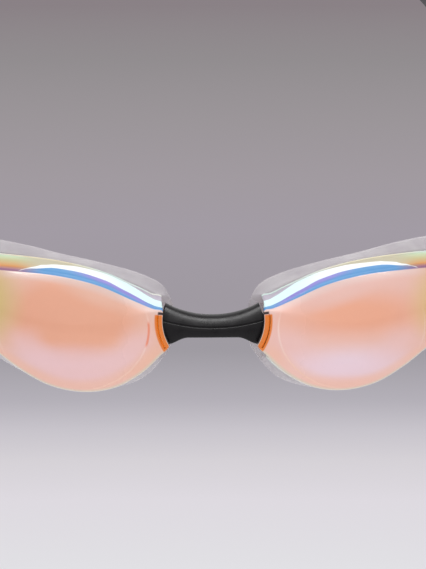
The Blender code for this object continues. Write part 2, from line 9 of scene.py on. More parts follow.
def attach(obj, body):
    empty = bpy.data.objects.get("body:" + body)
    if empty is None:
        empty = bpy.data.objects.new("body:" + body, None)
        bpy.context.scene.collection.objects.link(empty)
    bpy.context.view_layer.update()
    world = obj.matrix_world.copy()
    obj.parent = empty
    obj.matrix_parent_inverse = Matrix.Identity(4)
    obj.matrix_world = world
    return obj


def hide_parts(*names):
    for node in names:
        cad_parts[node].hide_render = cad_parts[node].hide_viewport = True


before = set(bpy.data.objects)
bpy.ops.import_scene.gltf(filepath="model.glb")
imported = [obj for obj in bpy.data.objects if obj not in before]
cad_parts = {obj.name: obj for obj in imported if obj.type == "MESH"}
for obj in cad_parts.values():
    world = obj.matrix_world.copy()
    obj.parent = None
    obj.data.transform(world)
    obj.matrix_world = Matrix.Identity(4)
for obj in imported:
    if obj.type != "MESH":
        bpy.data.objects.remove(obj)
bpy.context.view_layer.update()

mm = 0.001
sides = {"left": -1, "right": 1}
bpy.context.scene.view_settings.view_transform = "Standard"


# small helpers

def smooth(low, high, value):
    t = min(max((value - low) / (high - low), 0.0), 1.0)
    return t * t * (3 - 2 * t)


def mix(a, b, t):
    return a + (b - a) * t


def lookUp(table, x):
    # a smooth value from rows of x and value
    if x <= table[0][0]:
        return table[0][1]
    for (x0, y0), (x1, y1) in zip(table, table[1:]):
        if x <= x1:
            return mix(y0, y1, smooth(x0, x1, x))
    return table[-1][1]


def splinePoint(a, b, c, d, t):
    k1 = max(sqrt((b - a).length), 1e-6)
    k2 = k1 + max(sqrt((c - b).length), 1e-6)
    k3 = k2 + max(sqrt((d - c).length), 1e-6)
    s = mix(k1, k2, t)
    ab = a.lerp(b, s / k1)
    bc = b.lerp(c, (s - k1) / (k2 - k1))
    cd = c.lerp(d, (s - k2) / (k3 - k2))
    return ab.lerp(bc, s / k2).lerp(bc.lerp(cd, (s - k1) / (k3 - k1)), (s - k1) / (k2 - k1))


def closedCurve(rows, perSpan):
    points = [Vector(row) for row in rows]
    count = len(points)
    curve = []
    for i in range(count):
        four = [points[(i + k) % count] for k in (-1, 0, 1, 2)]
        curve += [splinePoint(*four, k / perSpan) for k in range(perSpan)]
    return curve


def openCurve(rows, count):
    # evenly spaced points on a smooth curve through rows
    points = [Vector(row) for row in rows]
    points = [2 * points[0] - points[1]] + points + [2 * points[-1] - points[-2]]
    fine = []
    perSpan = 30
    for i in range(len(rows) - 1):
        fine += [splinePoint(*points[i:i + 4], k / perSpan) for k in range(perSpan)]
    fine.append(points[-2])
    run = [0.0]
    for p, q in zip(fine, fine[1:]):
        run.append(run[-1] + (q - p).length)
    out = []
    j = 0
    for i in range(count):
        want = run[-1] * i / (count - 1)
        while j < len(run) - 2 and run[j + 1] < want:
            j += 1
        out.append(fine[j].lerp(fine[j + 1], (want - run[j]) / (run[j + 1] - run[j])))
    return out


def soften(points, times):
    # each point moves to the middle of its neighbours, a few times over
    for _ in range(times):
        points = [
            (points[i - 1] + points[i] * 2 + points[(i + 1) % len(points)]) / 4
            for i in range(len(points))
        ]
    return points


# mesh helpers: every lofted piece starts as a circle whose edge is extruded ring by ring

def ringEdges(verts):
    # the edges that join neighbours in a ring
    order = {v: i for i, v in enumerate(verts)}
    found = dict.fromkeys(e for v in verts for e in v.link_edges if e.other_vert(v) in order)
    neighbours = (1, len(verts) - 1)
    return [e for e in found if abs(order[e.verts[0]] - order[e.verts[1]]) in neighbours]


def firstRing(bm, points):
    verts = bmesh.ops.create_circle(bm, cap_ends=False, segments=len(points), radius=1)["verts"]
    for v, p in zip(verts, points):
        v.co = p
    return verts


def nextRing(bm, verts, points):
    made = bmesh.ops.extrude_edge_only(bm, edges=ringEdges(verts))["geom"]
    fresh = {v for v in made if isinstance(v, bmesh.types.BMVert)}
    ordered = []
    for v in verts:
        ordered.append(next(e.other_vert(v) for e in v.link_edges if e.other_vert(v) in fresh))
    for v, p in zip(ordered, points):
        v.co = p
    return ordered


def loft(rings, ends="caps", values=None):
    # rings of points in millimetres; values holds one table of numbers per attribute name
    bm = bmesh.new()
    layers = {name: bm.verts.layers.float.new(name) for name in values or {}}
    verts = firstRing(bm, rings[0])
    made = [verts]
    for ring in rings[1:]:
        verts = nextRing(bm, verts, ring)
        made.append(verts)
    for name, layer in layers.items():
        for row, ring in zip(values[name], made):
            for v, value in zip(ring, row):
                v[layer] = value
    if ends == "tube":
        bmesh.ops.bridge_loops(bm, edges=ringEdges(made[0]) + ringEdges(made[-1]))
    else:
        for ring in (made[0], made[-1]):
            bmesh.ops.contextual_create(bm, geom=ringEdges(ring))
            if ends == "poles":
                face = next(f for f in ring[0].link_faces if len(f.verts) == len(ring))
                bmesh.ops.poke(bm, faces=[face])
    bmesh.ops.scale(bm, verts=bm.verts, vec=(mm, mm, mm))
    bmesh.ops.recalc_face_normals(bm, faces=bm.faces)
    return bm


def join(*parts):
    # several bmeshes as one
    whole = bmesh.new()
    for part in parts:
        mesh = bpy.data.meshes.new("part")
        part.to_mesh(mesh)
        part.free()
        whole.from_mesh(mesh)
        bpy.data.meshes.remove(mesh)
    return whole


def piece(name, bm, paint, body, side, instead, sharp=35):
    # finishes a mesh as a piece that rides on a body and stands in for a CAD node
    if side < 0:
        bmesh.ops.scale(bm, verts=bm.verts, vec=(-1, 1, 1))
        bmesh.ops.reverse_faces(bm, faces=bm.faces)
    mesh = bpy.data.meshes.new(name)
    bm.to_mesh(mesh)
    bm.free()
    mesh.shade_smooth()
    mesh.set_sharp_from_angle(angle=radians(sharp))
    mesh.materials.append(paint)
    made = bpy.data.objects.new(name, mesh)
    bpy.context.scene.collection.objects.link(made)
    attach(made, body)
    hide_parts(instead)


# shader helpers

def tone(r, g, b):
    # a screen colour of 0 to 255 as linear light
    out = []
    for value in (r, g, b):
        c = value / 255
        out.append(c / 12.92 if c < 0.04045 else ((c + 0.055) / 1.055) ** 2.4)
    return (*out, 1)


class Shader:
    # a material's tree with short words for the nodes it uses
    def __init__(self, tree):
        self.tree = tree
        self.principled = tree.nodes.get("Principled BSDF")

    def put(self, socket, value):
        if isinstance(value, bpy.types.NodeSocket):
            self.tree.links.new(value, socket)
        else:
            socket.default_value = value

    def set(self, name, value):
        self.put(self.principled.inputs[name], value)

    def node(self, kind, settings=None, **inputs):
        made = self.tree.nodes.new("ShaderNode" + kind)
        for key, value in (settings or {}).items():
            setattr(made, key, value)
        for key, value in inputs.items():
            self.put(made.inputs[key], value)
        return made

    def maths(self, operation, a, b=0.0):
        made = self.node("Math", {"operation": operation})
        self.put(made.inputs[0], a)
        self.put(made.inputs[1], b)
        return made.outputs[0]

    def times(self, first, *others):
        for other in others:
            first = self.maths("MULTIPLY", first, other)
        return first

    def length(self, a, b):
        return self.maths("SQRT", self.maths("ADD", self.times(a, a), self.times(b, b)))

    def blend(self, mask, a, b):
        made = self.node("Mix", {"data_type": "RGBA", "clamp_result": False})
        for index, value in ((0, mask), (6, a), (7, b)):
            self.put(made.inputs[index], value)
        return made.outputs[2]

    def over(self, below, shade, *masks):
        # a screen colour laid over what is below, through all its masks
        return self.blend(self.times(*masks), below, tone(*shade))

    def step(self, value, low, high, start=0.0, end=1.0, kind="SMOOTHSTEP"):
        made = self.node("MapRange", {"interpolation_type": kind}, Value=value)
        for key, number in (("From Min", low), ("From Max", high), ("To Min", start), ("To Max", end)):
            self.put(made.inputs[key], number)
        return made.outputs[0]

    def between(self, value, span):
        # a mask that rises between the first two numbers and falls between the last two
        return self.times(self.step(value, span[0], span[1]), self.step(value, span[3], span[2]))

    def ramp(self, value, rows):
        # a colour ramp from rows of a position and a linear colour
        made = self.node("ValToRGB", Fac=value)
        stops = made.color_ramp.elements
        for i, (at, colour) in enumerate(rows):
            stop = stops[0] if i == 0 else stops.new(at) if i < len(rows) - 1 else stops[-1]
            stop.position = at
            stop.color = colour
        return made.outputs[0]

    def attribute(self, name):
        return self.node("Attribute", {"attribute_name": name}).outputs["Fac"]

    def place(self):
        return self.node("TexCoord").outputs["Object"]

    def onLens(self):
        # how far a point is out from the middle plane and how high, in mm
        split = self.node("SeparateXYZ", Vector=self.place()).outputs
        return self.times(self.maths("ABSOLUTE", split["X"]), 1000.0), self.times(split["Z"], 1000.0)

    def noise(self, scale, detail, vector=None, rough=0.5):
        made = self.node("TexNoise", Scale=scale, Detail=detail, Roughness=rough)
        self.put(made.inputs["Vector"], vector or self.place())
        return made.outputs["Fac"]

    def bump(self, height, distance, strength):
        return self.node("Bump", Strength=strength, Distance=distance, Height=height).outputs["Normal"]

    def group(self, tree, **inputs):
        return self.node("Group", {"node_tree": tree}, **inputs).outputs

    def spot(self, at, size, slope=0.0, soft=(0.8, 1.2)):
        # an oval on the lens: its mask, and the distance from its middle in shares of its size
        return self.group(
            spot, Across=at[0], Height=at[1], Wide=size[0], Tall=size[1],
            Slope=slope, Inner=soft[0], Outer=soft[1],
        )


def paint(name):
    made = bpy.data.materials.new(name)
    made.use_nodes = True
    return made, Shader(made.node_tree)


def newGroup(name, inputs, outputs):
    tree = bpy.data.node_groups.new(name, "ShaderNodeTree")
    for label, value in inputs.items():
        tree.interface.new_socket(label, in_out="INPUT", socket_type="NodeSocketFloat").default_value = value
    for label in outputs:
        tree.interface.new_socket(label, in_out="OUTPUT", socket_type="NodeSocketFloat")
    given = tree.nodes.new("NodeGroupInput").outputs
    return tree, Shader(tree), given, tree.nodes.new("NodeGroupOutput").inputs


def grainGroup():
    # moulded grain: a fine height and a broad mask for uneven gloss
    tree, s, given, out = newGroup("mouldedGrain", {"Size": 6000.0, "Patch": 220.0}, ("Height", "Uneven"))
    s.put(out["Height"], s.noise(given["Size"], 3.0, rough=0.6))
    s.put(out["Uneven"], s.step(s.noise(given["Patch"], 2.0), 0.35, 0.65))
    return tree


def spotGroup():
    # a soft oval mask on a lens, placed by its distance from the nose and its height, in mm
    tree, s, given, out = newGroup(
        "lensSpot",
        {"Across": 0.0, "Height": 0.0, "Wide": 10.0, "Tall": 10.0, "Slope": 0.0, "Inner": 0.8, "Outer": 1.2},
        ("Mask", "Distance"),
    )
    u, z = s.onLens()
    du = s.maths("SUBTRACT", u, given["Across"])
    dz = s.maths("SUBTRACT", s.maths("SUBTRACT", z, given["Height"]), s.times(du, given["Slope"]))
    far = s.length(s.maths("DIVIDE", du, given["Wide"]), s.maths("DIVIDE", dz, given["Tall"]))
    s.put(out["Distance"], far)
    s.put(out["Mask"], s.step(far, given["Outer"], given["Inner"]))
    return tree


grain = grainGroup()
spot = spotGroup()


# materials: grain and patch are noise scales, and a pair is the least and the most of what it names

def grained(name, look):
    # a moulded material's uneven gloss and fine grain; its colours come after
    made, s = paint(name)
    g = s.group(grain, Size=look["grain"], Patch=look["patch"])
    low, high = (0.3, 0.7) if look["glossBy"] == "Height" else (0.0, 1.0)
    s.set("Roughness", s.step(g[look["glossBy"]], low, high, *look["roughness"]))
    s.set("Normal", s.bump(g["Height"], look["bump"], look["bumpStrength"]))
    return made, s, g["Uneven"]


def twoTone(s, mask, look):
    s.set("Base Color", s.blend(mask, tone(*look["colour"]), tone(*look["shade"])))


def seeThrough(s, look):
    # clearer face on, milkier edge on
    edge = s.node("LayerWeight", Blend=look["edge"]).outputs["Facing"]
    s.set("Alpha", s.step(edge, 0.0, 0.9, *look["alpha"], "LINEAR"))


blackLook = {
    "colour": (15, 13, 15), "shade": (18.87, 16.6, 18.87), "roughness": (0.3, 0.37), "glossBy": "Uneven",
    "shine": 0.5, "grain": 5200.0, "patch": 260.0, "bump": 0.00001, "bumpStrength": 0.5,
}
bridgeLook = {
    "colour": (11, 9, 11), "shade": (14.33, 12.03, 14.33), "roughness": (0.27, 0.34), "glossBy": "Uneven",
    "shine": 0.24, "grain": 5200.0, "patch": 260.0, "bump": 0.000006, "bumpStrength": 0.5,
}


def blackPaint(name, look):
    made, s, uneven = grained(name, look)
    twoTone(s, uneven, look)
    s.set("Specular IOR Level", look["shine"])
    return made


orangeLook = {
    "colour": (234, 122, 22), "shade": (220, 106, 18), "roughness": (0.38, 0.48), "glossBy": "Height",
    "coat": 0.25, "paintedLight": 0.62, "grain": 4200.0, "patch": 300.0, "bump": 0.000008, "bumpStrength": 0.4,
}


def orangePaint():
    made, s, uneven = grained("orangePlastic", orangeLook)
    twoTone(s, uneven, orangeLook)
    s.set("Coat Weight", orangeLook["coat"])
    # painted light: the emission makes the orange parts glow brighter than the lamps light them
    s.set("Emission Color", tone(*orangeLook["colour"]))
    s.set("Emission Strength", orangeLook["paintedLight"])
    return made


strapLook = {
    "colour": (52, 50, 53), "shade": (84, 82, 86), "roughness": (0.44, 0.58), "glossBy": "Uneven",
    "dustScale": 900.0, "dust": (0.5, 0.75, 0.0, 0.35), "sheen": 0.15,
    "grain": 2600.0, "patch": 120.0, "bump": 0.00002, "bumpStrength": 0.5,
}


def strapPaint():
    # silicone with a little dust on it
    made, s, _ = grained("strapSilicone", strapLook)
    twoTone(s, s.step(s.noise(strapLook["dustScale"], 4.0), *strapLook["dust"]), strapLook)
    s.set("Sheen Weight", strapLook["sheen"])
    return made


sealLook = {
    "colour": (208, 203, 205), "shade": (196, 190, 194), "roughness": (0.36, 0.5), "glossBy": "Height",
    "alpha": (0.5, 0.82), "edge": 0.45,
    "grain": 1500.0, "patch": 150.0, "bump": 0.000006, "bumpStrength": 0.3,
}


def sealPaint():
    made, s, uneven = grained("frostedSilicone", sealLook)
    twoTone(s, uneven, sealLook)
    seeThrough(s, sealLook)
    return made


seatLook = {
    "colour": (226, 226, 214), "shade": (206, 232, 224), "roughness": (0.14, 0.22), "glossBy": "Uneven",
    "paintedSheen": {
        "colour": (236, 214, 150), "at": (42.0, 13.0), "size": (14.0, 9.0), "soft": (0.3, 1.3), "amount": 0.6,
    },
    "alpha": (0.62, 0.95), "edge": 0.4, "coat": 0.6,
    "grain": 2500.0, "patch": 90.0, "bump": 0.000006, "bumpStrength": 0.3,
}


def seatPaint():
    # clear ring under the lens, with the coating's faint colours in it as a painted gold sheen
    made, s, uneven = grained("clearRing", seatLook)
    base = s.blend(uneven, tone(*seatLook["colour"]), tone(*seatLook["shade"]))
    # a painted gold sheen near the top of the ring
    paintedSheen = seatLook["paintedSheen"]
    mask = s.spot(paintedSheen["at"], paintedSheen["size"], soft=paintedSheen["soft"])["Mask"]
    s.set("Base Color", s.over(base, paintedSheen["colour"], mask, paintedSheen["amount"]))
    s.set("Coat Weight", seatLook["coat"])
    seeThrough(s, seatLook)
    return made


armLook = {
    "colour": (196, 190, 194), "shade": (176, 170, 176), "roughness": (0.2, 0.3), "glossBy": "Uneven",
    "alpha": (0.72, 0.96), "edge": 0.4,
    "grain": 3200.0, "patch": 180.0, "bump": 0.00001, "bumpStrength": 0.4,
}


def armPaint():
    made, s, uneven = grained("smokedPlastic", armLook)
    twoTone(s, uneven, armLook)
    seeThrough(s, armLook)
    return made


steelLook = {
    "colour": (186, 186, 190), "shade": (214, 214, 218), "roughness": (0.22, 0.38),
    "brushScale": 9000.0, "stretch": 0.15, "bump": 0.000006, "bumpStrength": 0.3,
}


def steelPaint():
    made, s = paint("brushedSteel")
    split = s.node("SeparateXYZ", Vector=s.place()).outputs
    brushed = s.node("CombineXYZ", X=s.times(split["X"], steelLook["stretch"]), Y=split["Y"], Z=split["Z"])
    fine = s.noise(steelLook["brushScale"], 3.0, brushed.outputs[0])
    twoTone(s, fine, steelLook)
    s.set("Metallic", 1.0)
    s.set("Roughness", s.step(fine, 0.2, 0.8, *steelLook["roughness"]))
    s.set("Normal", s.bump(fine, steelLook["bump"], steelLook["bumpStrength"]))
    return made


# The mirrored lens. Each patch is laid over the ones before it. The spans are in mm across or up the lens, or
# in shares of an oval or of the face, and give where a colour is absent and where it is full
lensLook = {
    "left": {
        "base": (228, 182, 164),
        # colour, place, size, slope, softness and amount; here and on the right the pink and lilac patches
        # low on the face are painted reflections of the bright floor, the others the coating's tints
        "patches": (
            ((228, 165, 136), (35.5, 1.2), (19.0, 11.5), 0.0, (0.6, 1.12), 1.0),
            ((228, 184, 164), (29.0, 7.8), (13.0, 4.6), 0.35, (0.3, 1.2), 0.7),
            ((228, 193, 198), (37.0, -9.8), (19.0, 4.4), 0.0, (0.2, 1.3), 0.6),
            ((228, 186, 181), (33.0, -16.4), (20.0, 4.4), 0.0, (0.5, 1.3), 0.9),
            ((206, 182, 116), (60.0, 5.0), (15.0, 16.0), 0.0, (0.3, 1.0), 1.0),
            ((190, 186, 140), (68.0, 2.0), (14.0, 22.0), 0.0, (0.3, 1.0), 0.9),
        ),
        "crescent": 0.55,
        "border": (222, 198, 190),
        "reach": 0.0,
        # a short red arc where the moulded step catches the light
        "arc": {
            "colour": (226, 118, 78), "line": (0.022, 0.008), "across": (18.0, 17.0, 0.0, 0.75),
            "height": (-7.0, -5.5, -1.0, 0.5),
        },
    },
    "right": {
        "base": (231, 186, 173),
        "patches": (
            ((234, 168, 138), (36.5, 1.4), (25.0, 7.0), 0.0, (0.2, 1.2), 1.0),
            ((230, 187, 176), (31.0, 7.0), (15.0, 4.0), 0.3, (0.3, 1.2), 0.8),
            ((229, 208, 219), (33.0, -11.6), (19.0, 5.4), 0.03, (0.1, 1.3), 0.95),
            ((232, 190, 184), (33.0, -17.4), (20.0, 3.2), 0.0, (0.5, 1.3), 0.9),
            ((220, 186, 126), (61.0, 4.0), (14.0, 15.0), 0.0, (0.3, 1.0), 1.0),
            ((196, 190, 140), (69.0, 2.0), (14.0, 22.0), 0.0, (0.3, 1.0), 0.9),
        ),
        "crescent": 0.3,
        "border": (229, 202, 195),
        "reach": 3.5,       # how much further out the bright edges run
    },
    # the ring is a painted highlight along the moulded step
    "ring": {
        "colour": (240, 208, 194), "at": (35.0, -2.0), "size": (18.8, 15.7), "line": (0.0192, 0.0036),
        "height": (4.0, -3.0), "across": (38.0, 26.0, 0.3, 1.0), "amount": 0.8,
    },
    # the crescent is a painted reflection of the bright floor, low on the face
    "crescent": {
        "colour": (231, 194, 197), "at": (33.0, -1.8), "size": (19.5, 14.5), "inside": (0.42, 0.7, 0.8, 1.02),
        "height": (0.0, -6.0),
    },
    "border": {"level": (0.84, 0.985), "height": (-3.0, 3.0, 0.0, 0.75), "across": (56.0, 50.0)},
    "warmRim": {"colour": (234, 184, 158), "level": (0.8, 0.93), "height": (-5.0, -9.0, 0.0, 0.55)},
    "lowRim": {"colour": (206, 203, 184), "level": (0.965, 1.0), "height": (2.0, -6.0), "amount": 0.75},
    # the wall's bands are painted: the white band a painted highlight of the lamp above, the blue, purple and
    # rainbow bands painted reflections in the coating's colours
    "wall": {
        "blue": (84, 148, 202), "purple": (140, 130, 206), "purpleAcross": (14.0, 19.0, 29.0, 37.0),
        "purpleDepth": (1.3, 0.3), "blueSoft": (-0.1, 0.1),
        "white": (246, 252, 250), "mint": (190, 244, 240), "mintAcross": (34.0, 18.0, 0.0, 0.55),
        "whiteSoft": (-0.12, 0.1),
        "pale": (176, 168, 182), "paleOut": (184, 176, 146), "paleAcross": (20.0, 36.0),
        "rainbowFrom": 42.0, "rainbowTo": 50.0, "rainbowTall": 4.6,
        "rainbow": (
            (0.0, (150, 104, 132)), (0.12, (150, 104, 132)), (0.3, (208, 142, 74)), (0.6, (186, 176, 122)),
            (0.85, (186, 206, 168)), (1.0, (190, 244, 240)),
        ),
    },
    "sideWall": {"colour": (214, 208, 196), "upper": (206, 198, 168), "height": (-14.0, 4.0)},
    "inside": (120, 92, 84),
    # round the bridge's end: colour, radius and turn, which rise and fall between their four numbers; the two
    # dark rows are painted shade in the gaps above the strip and by the bridge
    "strip": (
        ((220, 122, 48), (12.1, 12.22, 13.85, 14.2), (-35.0, -33.0, 5.5, 7.5)),
        ((60, 46, 46), (0.0, 1.0, 13.1, 13.5), (6.6, 7.3, 9.4, 10.4)),
        ((52, 48, 48), (0.0, 1.0, 12.0, 12.1), (-37.0, -35.0, 11.0, 13.0)),
    ),
    "window": ((13.0, 13.2, 13.4, 13.6), (-32.0, -30.0, 5.5, 7.5)),
    "wearScale": 240.0,
    "wearBump": 0.1,
    "roughness": (0.2, 0.25),
    "metallic": (0.01, 0.04),
    "specular": 0.3,
    "coat": (0.45, 0.0675),     # on the face, and where it is dull: on the wall and by the nose
    "coatRoughness": 0.12,
    "dullNose": (25.0, 15.0),
    "dullRoughness": 0.25,
    "bump": 0.00006,
    "bumpStrength": 0.5,
}


def lensFace(s, side, u, z):
    # the front face's colour with its painted reflections and painted highlight, and the line of the moulded
    # step in it
    own = lensLook[side]
    level = s.attribute("level")
    colour = tone(*own["base"])
    for shade, at, size, slope, soft, amount in own["patches"]:
        colour = s.over(colour, shade, s.spot(at, size, slope, soft)["Mask"], amount)
    ring = lensLook["ring"]
    away = s.maths("ABSOLUTE", s.maths("SUBTRACT", s.spot(ring["at"], ring["size"])["Distance"], 1.0))
    line = s.times(s.step(away, *ring["line"]), s.step(z, *ring["height"]), s.step(u, *ring["across"]))
    # painted highlight along the moulded step
    colour = s.over(colour, ring["colour"], line, ring["amount"])
    moon = lensLook["crescent"]
    # painted reflection of the bright floor, a crescent low on the face
    paintedLight = s.between(s.spot(moon["at"], moon["size"])["Distance"], moon["inside"])
    colour = s.over(colour, moon["colour"], paintedLight, s.step(z, *moon["height"], 0.0, own["crescent"]))
    rim = lensLook["border"]
    border = s.times(s.step(level, *rim["level"]), s.step(z, *rim["height"]), s.step(u, *rim["across"]))
    colour = s.over(colour, own["border"], border)
    rim = lensLook["warmRim"]
    colour = s.over(colour, rim["colour"], s.step(level, *rim["level"]), s.step(z, *rim["height"]))
    if "arc" in own:
        arc = own["arc"]
        mask = s.times(s.step(away, *arc["line"]), s.step(u, *arc["across"]), s.between(z, arc["height"]))
        colour = s.over(colour, arc["colour"], mask)
    rim = lensLook["lowRim"]
    low = s.times(s.step(level, *rim["level"]), s.step(z, *rim["height"]), rim["amount"])
    return s.over(colour, rim["colour"], low), line


def lensWall(s, side, u):
    # the upper wall: a blue and purple edge, a white band, then a rainbow towards the temple; the white band
    # is a painted highlight and the other bands are painted reflections in the coating's colours
    w = lensLook["wall"]
    reach = lensLook[side]["reach"]
    blueReflectionEdge = s.attribute("blueReflectionEdge")
    outerEnd = s.step(u, w["rainbowFrom"] + reach, w["rainbowTo"] + reach)
    up = s.maths("DIVIDE", s.attribute("rise"), w["rainbowTall"])
    rainbow = s.ramp(up, [(at, tone(*shade)) for at, shade in w["rainbow"]])
    purple = s.times(s.between(u, w["purpleAcross"]), s.step(blueReflectionEdge, *w["purpleDepth"]))
    edge = s.blend(outerEnd, s.over(tone(*w["blue"]), w["purple"], purple), rainbow)
    white = s.over(tone(*w["white"]), w["mint"], s.step(u, *w["mintAcross"]))
    pale = s.over(tone(*w["pale"]), w["paleOut"], s.step(u, *w["paleAcross"]))
    high = s.step(s.attribute("whiteHighlightEdge"), *w["whiteSoft"])
    wall = s.blend(high, s.blend(outerEnd, pale, rainbow), white)
    return s.blend(s.step(blueReflectionEdge, *w["blueSoft"]), wall, edge)


def lensPaint(side):
    made, s = paint(side + "MirrorCoating")
    u, z = s.onLens()
    onWall = s.attribute("wall")
    face, line = lensFace(s, side, u, z)
    colour = s.blend(onWall, face, lensWall(s, side, u))
    c = lensLook["sideWall"]
    sideShade = s.over(tone(*c["colour"]), c["upper"], s.step(z, *c["height"]))
    colour = s.blend(s.attribute("sideWall"), colour, sideShade)
    colour = s.over(colour, lensLook["inside"], s.attribute("inside"))
    # the insert's colour in the lens's edge around the strip, with dark slivers of painted shade in the gaps
    # above it and by the bridge
    du = s.maths("SUBTRACT", u, bridgeShape["endCentre"])
    radius = s.length(du, z)
    turn = s.times(s.maths("ARCTAN2", z, du), 180 / pi)
    for shade, far, around in lensLook["strip"]:
        colour = s.over(colour, shade, s.between(turn, around), s.between(radius, far))
    s.set("Base Color", colour)
    wear = s.noise(lensLook["wearScale"], 3.0)
    dull = s.maths("MAXIMUM", onWall, s.step(u, *lensLook["dullNose"]))
    rough = s.step(wear, 0.3, 0.7, *lensLook["roughness"])
    s.set("Roughness", s.maths("ADD", rough, s.times(dull, lensLook["dullRoughness"])))
    s.set("Metallic", s.step(wear, 0.2, 0.8, *lensLook["metallic"]))
    s.set("Coat Weight", s.step(dull, 0.0, 1.0, *lensLook["coat"]))
    s.set("Coat Roughness", lensLook["coatRoughness"])
    s.set("Specular IOR Level", lensLook["specular"])
    # uncoated strip of the lens in front of the coloured insert
    far, around = lensLook["window"]
    clear = s.times(s.between(radius, far), s.between(turn, around))
    s.set("Alpha", s.step(clear, 0.0, 1.0, 1.0, 0.0, "LINEAR"))
    height = s.maths("ADD", line, s.times(wear, lensLook["wearBump"]))
    s.set("Normal", s.bump(height, lensLook["bump"], lensLook["bumpStrength"]))
    return made


# eyecups

cupShape = {
    # lens front edge x and z, then seal lip x and z, from the nose over the brow
    "outline": (
        (12.9, 2.5, 10.3, 5.0), (15.0, 2.9, 12.2, 8.0), (20.0, 4.95, 17.2, 10.7), (28.5, 8.6, 26.5, 13.4),
        (38.0, 10.9, 37.5, 15.8), (48.0, 11.9, 48.5, 18.3), (57.5, 12.2, 59.0, 19.4),
        (64.5, 11.1, 67.3, 16.6), (68.0, 7.4, 71.0, 8.8), (67.0, 2.2, 70.0, 0.8), (62.5, -2.4, 64.5, -4.4),
        (55.5, -7.1, 56.5, -9.2), (48.5, -12.2, 48.6, -13.8), (41.0, -16.2, 41.0, -17.4),
        (32.5, -17.8, 32.0, -18.6), (24.5, -16.6, 23.2, -17.8), (18.0, -13.0, 16.6, -15.2),
        (13.7, -9.0, 12.3, -10.8), (11.25, -6.35, 10.0, -7.2), (12.25, -3.3, 9.2, -3.2),
        (12.75, -0.4, 9.2, 0.2), (12.7, 1.6, 9.6, 3.0),
    ),
    "perSpan": 8,
    "middle": (40.0, -1.5),
    "front": -13.5,             # the lens's edge at the nose, front to back
    "wrap": 14.0,               # how far it has swept back at the temple
    "noseEnd": 12.0,
    "length": 56.0,
    "dome": 3.2,
    "wall": 1.5,
    "depth": 7.0,
    "bevelTop": 3.1,            # how far the rear edge stands out above, and its gain at the temple
    "bevelTemple": 1.12,
    "bevelLeast": 0.5,
    "pocket": 2.9,              # how far the wall behind the nose steps away from the bridge
    "faceShares": (0.1, 0.22, 0.34, 0.46, 0.58, 0.69, 0.78, 0.86, 0.92, 0.96, 0.985),
    "rounding": 420,            # how many times the face's rings are evened out towards its middle
    "innerRounding": 14,
    "gap": 0.3,
    "ringProud": 0.25,
    "ringDepth": 1.5,
    "lipSweep": 17.0,
    "lipLength": 60.0,
    # how high the blue painted reflection and the white painted highlight reach up the wall, by their
    # distance from the middle
    "blueReflectionEdge": (
        (12, 0.7), (16, 1.05), (22, 1.5), (27, 1.9), (33, 2.1), (39, 2.0), (45.5, 1.2), (50, 0.0), (60, -0.5),
    ),
    "whiteHighlightEdge": (
        (12, 2.2), (16, 2.7), (22, 3.4), (27, 3.5), (33, 3.4), (39, 2.9), (42, 2.45), (45.5, 1.5), (48, 0.6),
        (50, -0.5),
    ),
    "viewTilt": 5.0,            # heights on the wall are as seen from this many degrees above
}


def lensDepth(x):
    c = cupShape
    return c["front"] + c["wrap"] * (max(x - c["noseEnd"], 0.0) / c["length"]) ** 2


def sealDepth(x):
    c = cupShape
    return c["lipSweep"] * (max(x - c["noseEnd"], 0.0) / c["lipLength"]) ** 2


class Cup:
    # the outlines that the lens, the ring and the seal share, right-hand side, in millimetres
    def __init__(self):
        c = cupShape
        rows = closedCurve(c["outline"], c["perSpan"])
        self.front = [Vector((r[0], r[1])) for r in rows]
        self.lip = [Vector((r[2], r[3])) for r in rows]
        raw = []
        for i in range(len(rows)):
            p, q = self.front[i - 1], self.front[(i + 1) % len(rows)]
            raw.append(Vector((p[1] - q[1], q[0] - p[0])).normalized())
        self.out = [n.normalized() for n in soften(raw, 6)]
        # 1 beside the bridge, 0 elsewhere
        self.nose = [
            smooth(15.5, 13.0, p.x) * smooth(-9.6, -7.9, p.y) * smooth(2.6, 2.2, p.y)
            for p in self.front
        ]
        self.bevel = [self.lean(p.x, n.y) for p, n in zip(self.front, self.out)]
        # the way the bevel leans: out, but mostly upwards along the top near the nose
        self.push = [
            Vector((n.x * (mix(0.25, 1, smooth(13.5, 20, p.x)) if n.y > 0.3 else 1), n.y))
            for p, n in zip(self.front, self.out)
        ]
        self.middle = Vector(c["middle"])

    def lean(self, across, up):
        # how far the bevel stands out: most along the top
        c = cupShape
        most = c["bevelTop"] * mix(1, c["bevelTemple"], smooth(35, 55, across))
        return mix(c["bevelLeast"], most, smooth(0.15, 0.85, up))

    def offset(self, elsewhere, nose):
        # the front outline moved out by a share of the bevel, and towards the bridge by mm at the nose
        return [
            p + n * (elsewhere * b * (1 - w)) - Vector((nose * w, 0))
            for p, n, b, w in zip(self.front, self.push, self.bevel, self.nose)
        ]

    def inset(self, points, distance):
        # moved in towards the cup's middle, far enough to leave a wall of that thickness
        moved = []
        for p, n in zip(points, self.out):
            way = (self.middle - p).normalized()
            moved.append(p + way * (distance / max(-n.dot(way), 0.5)))
        return moved

    def innerRim(self):
        return soften(self.inset(self.rear(), cupShape["wall"]), cupShape["innerRounding"])

    def rear(self):
        return self.offset(1.0, -cupShape["pocket"])

    def faceRing(self, share, back):
        # rounder towards the middle of the face, so that reflections run smoothly over it
        rise = cupShape["dome"] * (1 - share ** 2)
        ring = []
        for p in soften(self.front, int(cupShape["rounding"] * (1 - share))):
            q = self.middle.lerp(p, share)
            ring.append(Vector((q.x, lensDepth(q.x) - rise + back, q.y)))
        return ring

    def wallRing(self, points, elsewhere, nose):
        return [
            Vector((p.x, lensDepth(p.x) + mix(elsewhere, nose, w), p.y))
            for p, w in zip(points, self.nose)
        ]


